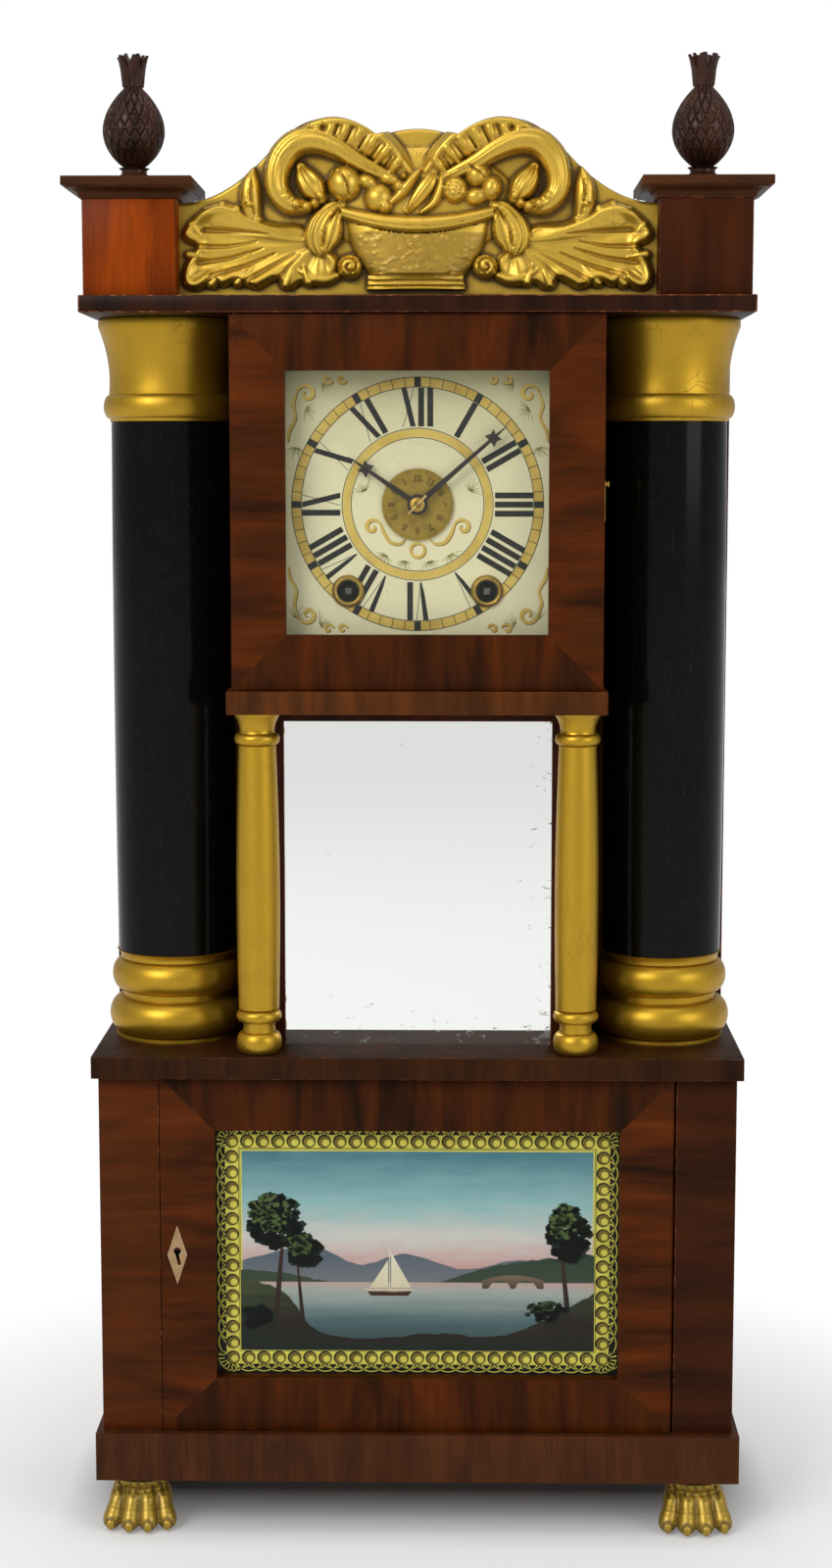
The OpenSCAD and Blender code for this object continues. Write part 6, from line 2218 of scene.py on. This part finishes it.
@dataclass
class Tablet:
    """The painted glass of the lower door: a bordered landscape of the builder's own.

    Attributes:
        half: Half its width.
        low: Height of its foot.
        high: Height of its top.
        back: Depth of the glass's back face.
        border: Width of its border.
        inset: Place of the border's balls from its edge.
        coats: Coats of paint that the picture has so far.
    """

    half: float = 130.0
    low: float = 104.1
    high: float = 268.4
    back: float = 20.2
    border: float = 16.4
    inset: float = 9.9
    coats: int = 0

    def build(self) -> None:
        """Builds the glass, the border and the picture."""
        paint_node(Finish.TABLET_GLASS, "tablet_glass")
        self.ornament()
        self.picture()

    def balls(self) -> list[tuple[float, float, float, float]]:
        """Places of the border's balls, with the direction outwards at each.

        Returns:
            Place across, height and direction of each.
        """
        x1, z0, z1 = self.half - self.inset, self.low + self.inset, self.high - self.inset
        made = []
        for i in range(25):
            x = -x1 + 2 * x1 * i / 24
            made += [(x, z0, 0, -1), (x, z1, 0, 1)]
        for i in range(1, 14):
            z = z0 + (z1 - z0) * i / 14
            made += [(-x1, z, -1, 0), (x1, z, 1, 0)]
        return made

    def ornament(self) -> None:
        """The border: balls in rings, interlaced arcs, fans of rays in the corners and a double line."""
        depths = (("ground", 0.05), ("lines", 0.08), ("pits", 0.11), ("balls", 0.14), ("lights", 0.17))
        black, yellow, pits, ochre, shine = (
            Sheet(f"border_{name}", self.back - before) for name, before in depths
        )
        self.band(black, -5.5, self.border)
        for outer, inner in ((5.6, 14.2), (14.6, 15.1), (15.5, self.border)):
            self.band(yellow, outer, inner)
        for x, z, out_x, out_z in self.balls():
            pits.disc(x, z, 4.5, 22)
            ochre.disc(x + 0.3, z - 0.25, 3.75, 20)
            shine.disc(x + 0.95, z - 0.85, 2.25, 18)
            heading = math.degrees(math.atan2(out_z, out_x))
            yellow.ring(x, z, 9.2, 0.75, heading - 75, 150, 20)
            yellow.ring(x + 5.0 * abs(out_z), z + 5.15 * abs(out_x), 7.2, 0.55, heading - 62, 124, 16)
        for across in (-1, 1):
            for up in (-1, 1):
                x = across * (self.half - self.inset)
                z = (self.low if up < 0 else self.high) - up * self.inset
                for k in range(9):
                    a = math.radians(-32 + 154 * k / 8)
                    dx, dz = across * math.cos(a), up * math.sin(a)
                    yellow.ribbon([(x + 5.4 * dx, z + 5.4 * dz, 0.2), (x + 9.6 * dx, z + 9.6 * dz, 0.6)])
        for sheet, finish in (
            (black, Finish.BORDER_BLACK), (yellow, Finish.YELLOW), (pits, Finish.BORDER_BLACK),
            (ochre, Finish.OCHRE), (shine, Finish.YELLOW),
        ):
            sheet.build("lower_door", "painted_glass", finish, 0.02)

    def band(self, sheet: Sheet, outer: float, inner: float) -> None:
        """A rectangular band between two distances inside the opening.

        Args:
            sheet: Where it is drawn.
            outer: Distance of its outer edge.
            inner: Distance of its inner edge.
        """
        x0, x1 = self.half - outer, self.half - inner
        low0, low1, high0, high1 = self.low + outer, self.low + inner, self.high - outer, self.high - inner
        strips = (
            (-x0, x0, low0, low1), (-x0, x0, high1, high0), (-x0, -x1, low1, high1), (x1, x0, low1, high1),
        )
        for left, right, foot, top in strips:
            sheet.patch([(left, foot), (right, foot), (right, top), (left, top)])

    def layer(
        self, name: str, stops: Sequence[tuple[float, int, int, int]], low: float, high: float,
        outlines: Sequence[Outline], stretch: tuple[float, float, float] = (0.25, 1, 1), spread: float = 0.3,
    ) -> None:
        """Lays one coat of the picture's paint, in front of those laid before.

        Args:
            name: What it shows.
            stops: Places and colours from its low to its high end.
            low: Height of the low end.
            high: Height of the high end.
            outlines: The shapes that are painted.
            stretch: How the brush marks are stretched.
            spread: How far the marks move the colours.
        """
        sheet = Sheet(f"tablet_{name}", self.back - 0.06 - 0.015 * self.coats)
        self.coats += 1
        for outline in outlines:
            sheet.patch(outline)
        piece = sheet.mesh()
        sheet.thicken(piece, 0.01)
        colours = tuple((where, tone(*seen)) for where, *seen in stops)
        paint = Brushwork(f"{sheet.name}_paint", colours, low, high, stretch, spread)
        piece.data.materials.append(paint.make())
        hand_over(piece, "lower_door", "painted_glass")

    def foliage(
        self, rng: np.random.Generator, x: float, z: float, wide: float, tall: float, count: int, size: float
    ) -> list[Outline]:
        """Scalloped clumps of leaves inside an oval.

        Args:
            rng: The source of chance.
            x: Middle of the oval across.
            z: Its middle up.
            wide: Its half width.
            tall: Its half height.
            count: How many clumps.
            size: Their radius.

        Returns:
            The clumps' outlines.
        """
        made = []
        for _ in range(count):
            a, r = rng.uniform(0, math.tau), math.sqrt(rng.uniform(0, 1))
            cx, cz, s = x + wide * r * math.cos(a), z + tall * r * math.sin(a), size * rng.uniform(0.7, 1.2)
            made.append([
                (cx + s * (1 + 0.18 * math.cos(5 * t)) * math.cos(t),
                 cz + 0.75 * s * (1 + 0.18 * math.cos(5 * t)) * math.sin(t))
                for t in np.linspace(0, math.tau, 15)[:-1]
            ])
        return made

    def ridge(
        self, rng: np.random.Generator, heights: Sequence[tuple[float, float]], floor: float, rough: float
    ) -> Outline:
        """The outline of a hill or bank over a floor, through given heights.

        Args:
            rng: The source of chance.
            heights: Points that the line goes through.
            floor: Height of its foot.
            rough: How far chance moves the line.

        Returns:
            The outline.
        """
        line = spline(heights, 10)
        line[:, 1] += rng.normal(0, rough, len(line))
        return [(line[0, 0], floor), *(tuple(point) for point in line), (line[-1, 0], floor)]

    def picture(self) -> None:
        """The landscape: a lake with a sailing boat before blue hills, a bridge and trees on its banks."""
        rng = np.random.default_rng(11)
        x1 = self.half - self.border + 1
        z0, z1 = self.low + self.border - 1, self.high - self.border + 1
        rise = z1 - z0
        water = z0 + 0.34 * rise
        field = [(-x1, z0), (x1, z0), (x1, z1), (-x1, z1)]
        self.layer(
            "sky",
            ((0.0, 168, 128, 118), (0.12, 206, 164, 160), (0.34, 212, 208, 202), (0.6, 150, 190, 192),
             (1.0, 72, 126, 140)),
            water, z1, [field], (0.2, 1, 1), 0.22,
        )
        far = [(-x1, water + 14), (-70, water + 24), (-38, water + 12), (-8, water + 19), (30, water + 9),
               (66, water + 15), (x1, water + 8)]
        self.layer("far_hills", ((0.0, 120, 120, 128), (1.0, 78, 98, 112)), water, water + 26,
                   [self.ridge(rng, far, water - 2, 0.3)])
        right = [(14, water), (42, water + 9), (74, water + 15), (x1, water + 19)]
        left = [(-x1, water + 8), (-86, water + 6), (-58, water)]
        self.layer("near_hills", ((0.0, 60, 74, 58), (1.0, 44, 66, 50)), water, water + 16,
                   [self.ridge(rng, right, water - 3, 0.4), self.ridge(rng, left, water - 3, 0.4)])
        self.layer(
            "water", ((0.0, 34, 46, 48), (0.45, 86, 112, 116), (0.85, 168, 176, 170), (1.0, 196, 168, 160)),
            z0, water, [[(-x1, z0), (x1, z0), (x1, water), (-x1, water)]], (0.08, 1, 1), 0.3,
        )
        self.layer("bridge", ((0.0, 60, 48, 38), (1.0, 134, 112, 88)), water - 6, water + 6,
                   self.bridge(62, water - 4))
        boat = [
            [(-30, water - 9), (-6, water - 9), (-2, water - 4.5), (-34, water - 4.5)],
            [(-17, water - 3.5), (-17, water + 20), (-4, water - 3.5)],
            [(-19, water - 3.5), (-31, water - 3.5), (-19, water + 15)],
            [(-18.3, water - 5), (-17.7, water - 5), (-17.7, water + 22), (-18.3, water + 22)],
        ]
        self.layer(
            "boat", ((0.0, 46, 26, 18), (0.16, 70, 40, 26), (0.2, 220, 208, 176), (1.0, 236, 230, 208)),
            water - 12, water + 22, boat, (1, 1, 1), 0.06,
        )
        bank = [(-x1, water + 2), (-88, water - 6), (-64, z0 + 12), (-30, z0 + 8), (10, z0 + 11), (48, z0 + 9),
                (80, z0 + 19), (x1, water - 7)]
        self.layer(
            "bank", ((0.0, 20, 30, 22), (0.4, 38, 24, 20), (0.75, 52, 62, 38), (1.0, 72, 76, 42)),
            z0, water, [self.ridge(rng, bank, z0 - 0.5, 0.5)], (0.12, 1, 1), 1.3,
        )
        trunks = [
            self.trunk(-92, z0 + 20, z0 + 78, 2.2, 5), self.trunk(-74, z0 + 14, z0 + 60, 1.6, -4),
            self.trunk(98, z0 + 22, z0 + 70, 2.0, -5),
        ]
        self.layer("trunks", ((0.0, 30, 18, 12), (1.0, 74, 50, 32)), z0, z1, trunks, (1, 1, 0.3))
        greens = (
            ("leaves_dark", ((0.0, 16, 30, 20), (1.0, 30, 54, 32)),
             ((-92, 86, 17, 17, 150, 3.4), (-73, 66, 11, 11, 80, 3.0), (98, 78, 13, 18, 130, 3.3),
              (84, 26, 13, 6, 60, 2.6), (-104, 22, 10, 8, 60, 2.8))),
            ("leaves_light", ((0.0, 54, 82, 40), (1.0, 92, 112, 56)),
             ((-96, 92, 13, 12, 60, 2.2), (-76, 70, 8, 7, 34, 2.0), (95, 86, 9, 12, 52, 2.1),
              (82, 29, 9, 3, 20, 1.8))),
        )
        for name, stops, clumps in greens:
            leaves = []
            for x, z, wide, tall, count, size in clumps:
                leaves += self.foliage(rng, x, z0 + z, wide, tall, count, size)
            self.layer(name, stops, z0, z1, self.kept(leaves, x1, z0, z1), (1, 1, 1), 0.5)

    @staticmethod
    def kept(outlines: Sequence[Outline], x1: float, z0: float, z1: float) -> list[Outline]:
        """The shapes held inside the picture's edges."""
        return [[(min(max(x, -x1), x1), min(max(z, z0), z1)) for x, z in outline] for outline in outlines]

    @staticmethod
    def trunk(x: float, low: float, high: float, half: float, lean: float) -> Outline:
        """A leaning tree trunk that tapers."""
        return [(x - half, low), (x + half, low), (x + lean + 0.4 * half, high), (x + lean - 0.4 * half, high)]

    @staticmethod
    def bridge(x: float, z: float) -> list[Outline]:
        """A small bridge of two arches, as a row of upright strips.

        Args:
            x: Its middle across.
            z: Height of its foot.

        Returns:
            The strips' outlines.
        """
        made = []
        for i in range(30):
            a, b = i / 30 - 0.5, (i + 1) / 30 - 0.5
            tops = [z + 9 - 14 * t ** 2 for t in (a, b)]
            lows = [z + 5.5 * math.sqrt(max(0.0, 1 - ((abs(t) - 0.21) / 0.17) ** 2)) for t in (a, b)]
            made.append([(x + 40 * a, lows[0]), (x + 40 * b, lows[1]), (x + 40 * b, tops[1]),
                         (x + 40 * a, tops[0])])
        return made


class Movement:
    """The wooden movement, the weights and their lines."""

    def build(self) -> None:
        """Dresses the movement's nodes and makes the weights' laid lines."""
        # Painted shade: the movement's plates are darkened oak, for the shade inside the case.
        paint_node(Finish.OAK, "movement_plates")
        paint_node(Finish.CHERRY, "movement_pillars", "time_great_wheel", "strike_great_wheel",
                   "strike_pin_wheel", "centre_wheel", "third_wheel", "motion_wheel")
        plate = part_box("movement_plates")[0].y
        for node in ("time_drum", "strike_drum"):
            drum = Bench.copy(node, f"{node}_turned")
            dress(drum, Finish.CHERRY, Finish.IRON)
            for face in drum.data.polygons:
                face.material_index = int(face.center.y < plate)
            Bench.smooth(drum, SAWN)
            hand_over(drum, node, "cherry", node)
        paint_node(Finish.BRASS, "escape_wheel", "pendulum", "bell", "left_pulley", "right_pulley")
        paint_node(Finish.IRON, "left_weight", "right_weight", "strike_hammer", "verge")
        paint_node(Finish.LINE, "upper_lines")
        joints = frame["record"]["behaviour"]["joints"]
        travel = {joint["name"]: joint["range_m"][1] for joint in joints if "range_m" in joint}
        for side in ("left", "right"):
            node, joint = f"{side}_fall_line", f"{side}_weight_rise"
            low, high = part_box(node)
            length, radius = (high.z - low.z) / MM, (high.x - low.x) / 2 / MM
            foot = Vector(((low.x + high.x) / 2, (low.y + high.y) / 2, low.z))
            rings = int(length / 1.5)
            lay = [(radius * (0.94 + 0.06 * (-1) ** i), length * i / rings) for i in range(rings + 1)]
            outline = [(0, 0), *lay, (0, length)]
            piece = Bench.turn(f"{side}_laid_line", outline, foot, steps=10, degrees=80)
            dress(piece, Finish.LINE)
            hand_over(piece, "case", "line", node)
            keep = max(0.02, 1 - travel[joint] * 1000 / length)
            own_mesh(piece)


@dataclass
class Studio:
    """A pale floor, soft light and the camera.

    Attributes:
        eye: The camera's place.
        down: How far the camera looks down, in radians.
        left: How far it is turned to the left, in radians.
        lens: Its focal length, in millimetres.
        ambient: Strength of the light all round.
        gloss: What it gains where it is seen in gloss.
        backdrop: What it gains where the camera sees it, which makes it white.
    """

    eye: tuple[float, float, float] = (0.0255, -1.6591, 0.6863)
    down: float = 0.1209
    left: float = 0.0164
    lens: float = 58.65
    ambient: float = 0.37
    gloss: float = 0.12
    backdrop: float = 0.63

    def build(self) -> None:
        """Sets the stage."""
        self.floor()
        self.lamp("key", (-1.5, -2.1, 2.0), 1.5, 50)
        self.lamp("fill", (2.2, -1.8, 1.4), 1.5, 22)
        self.lamp("top", (0.1, -0.5, 2.9), 1.8, 16)
        self.world()
        self.camera()
        bpy.context.scene.view_settings.view_transform = "Standard"

    def floor(self) -> None:
        """A wide white floor that shows as the white backdrop does, with the object's shadow and a painted
        shadow under the case.
        """
        Bench.take()
        bpy.ops.mesh.primitive_plane_add(size=30, location=(0, 0, -0.0002))
        plane = bpy.context.object
        plane.name = "studio_floor"
        recipe = Recipe("studio_white")
        across, back = recipe.axis("X").maths("ABSOLUTE"), recipe.axis("Y")
        # Painted shadow: the floor's colour is darkened in a patch under the case, and the glow that whitens
        # the floor is held back there.
        under = (1.0 - across.above(0.19, 0.05)) * back.above(-0.09, 0.1) * (1.0 - back.above(0.07, 0.06))
        white = recipe.mix(recipe.noise(3, 2) * 0.1, tone(244, 244, 243), tone(236, 236, 235))
        recipe.finish(Base_Color=recipe.mix(under * 0.9, white, tone(52, 48, 44)), Roughness=0.75)
        glow = recipe.node("ShaderNodeEmission", {}, {0: (1, 1, 1, 1), 1: 1.0})
        away = recipe.node("ShaderNodeVectorMath", {"operation": "LENGTH"}, {0: recipe.place}, "Value")
        away = away.above(0.24, 0.26)
        camera, glossy = (
            recipe.node("ShaderNodeLightPath", {}, {}, f"Is {ray} Ray") for ray in ("Camera", "Glossy")
        )
        seen = camera * (0.3 * (1.0 - under) + 0.7 * away).maths("MINIMUM", 1.0)
        gloss = glossy * (0.7 * away)
        plane.data.materials.append(recipe.blend(seen + gloss, Wire(recipe, recipe.shader.outputs[0]), glow))

    def lamp(self, name: str, place: tuple[float, float, float], size: float, power: float) -> None:
        """A square soft light that faces the clock.

        Args:
            name: Its name.
            place: Its place.
            size: Its width.
            power: Its power, in watts.
        """
        light = bpy.data.lights.new(name, "AREA")
        light.shape, light.size, light.energy = "SQUARE", size, power
        lamp = bpy.data.objects.new(name, light)
        lamp.location = place
        lamp.rotation_euler = (Vector((0, 0, 0.48)) - Vector(place)).to_track_quat("-Z", "Y").to_euler()
        bpy.context.scene.collection.objects.link(lamp)

    def world(self) -> None:
        """A soft grey light all round, seen as white by the camera and in gloss."""
        world = bpy.data.worlds.new("studio_world")
        world.use_nodes = True
        tree = world.node_tree
        sky = tree.nodes["Background"]
        path = tree.nodes.new("ShaderNodeLightPath")
        seen = tree.nodes.new("ShaderNodeMath")
        seen.operation = "MAXIMUM"
        tree.links.new(path.outputs["Is Camera Ray"], seen.inputs[0])
        tree.links.new(path.outputs["Is Transmission Ray"], seen.inputs[1])
        before = None
        for share, socket in ((self.gloss, path.outputs["Is Glossy Ray"]), (self.backdrop, seen.outputs[0])):
            step = tree.nodes.new("ShaderNodeMath")
            step.operation = "MULTIPLY_ADD"
            step.inputs[1].default_value, step.inputs[2].default_value = share, self.ambient
            tree.links.new(socket, step.inputs[0])
            if before:
                tree.links.new(before, step.inputs[2])
            before = step.outputs[0]
        tree.links.new(before, sky.inputs["Strength"])
        sky.inputs["Color"].default_value = (1, 1, 1, 1)
        bpy.context.scene.world = world

    def camera(self) -> None:
        """The camera at the photograph's place."""
        data = bpy.data.cameras.new("camera")
        data.sensor_fit, data.sensor_width, data.sensor_height, data.lens = "VERTICAL", 36, 36, self.lens
        camera = bpy.data.objects.new("camera", data)
        camera.location = self.eye
        camera.rotation_euler = (math.pi / 2 - self.down, 0, self.left)
        bpy.context.scene.collection.objects.link(camera)
        bpy.context.scene.camera = camera


def main() -> None:
    """Builds the clock and its stage, in order."""
    logging.basicConfig(level=logging.INFO, format="%(message)s")
    for part in (Case(), Columns(), Crest(), Plinths(), Paws(), Dial(), Tablet(), Movement(), Studio()):
        part.build()
        log.info("%s is built", type(part).__name__)
    Bench.take()


if __name__ == "__main__":
    main()
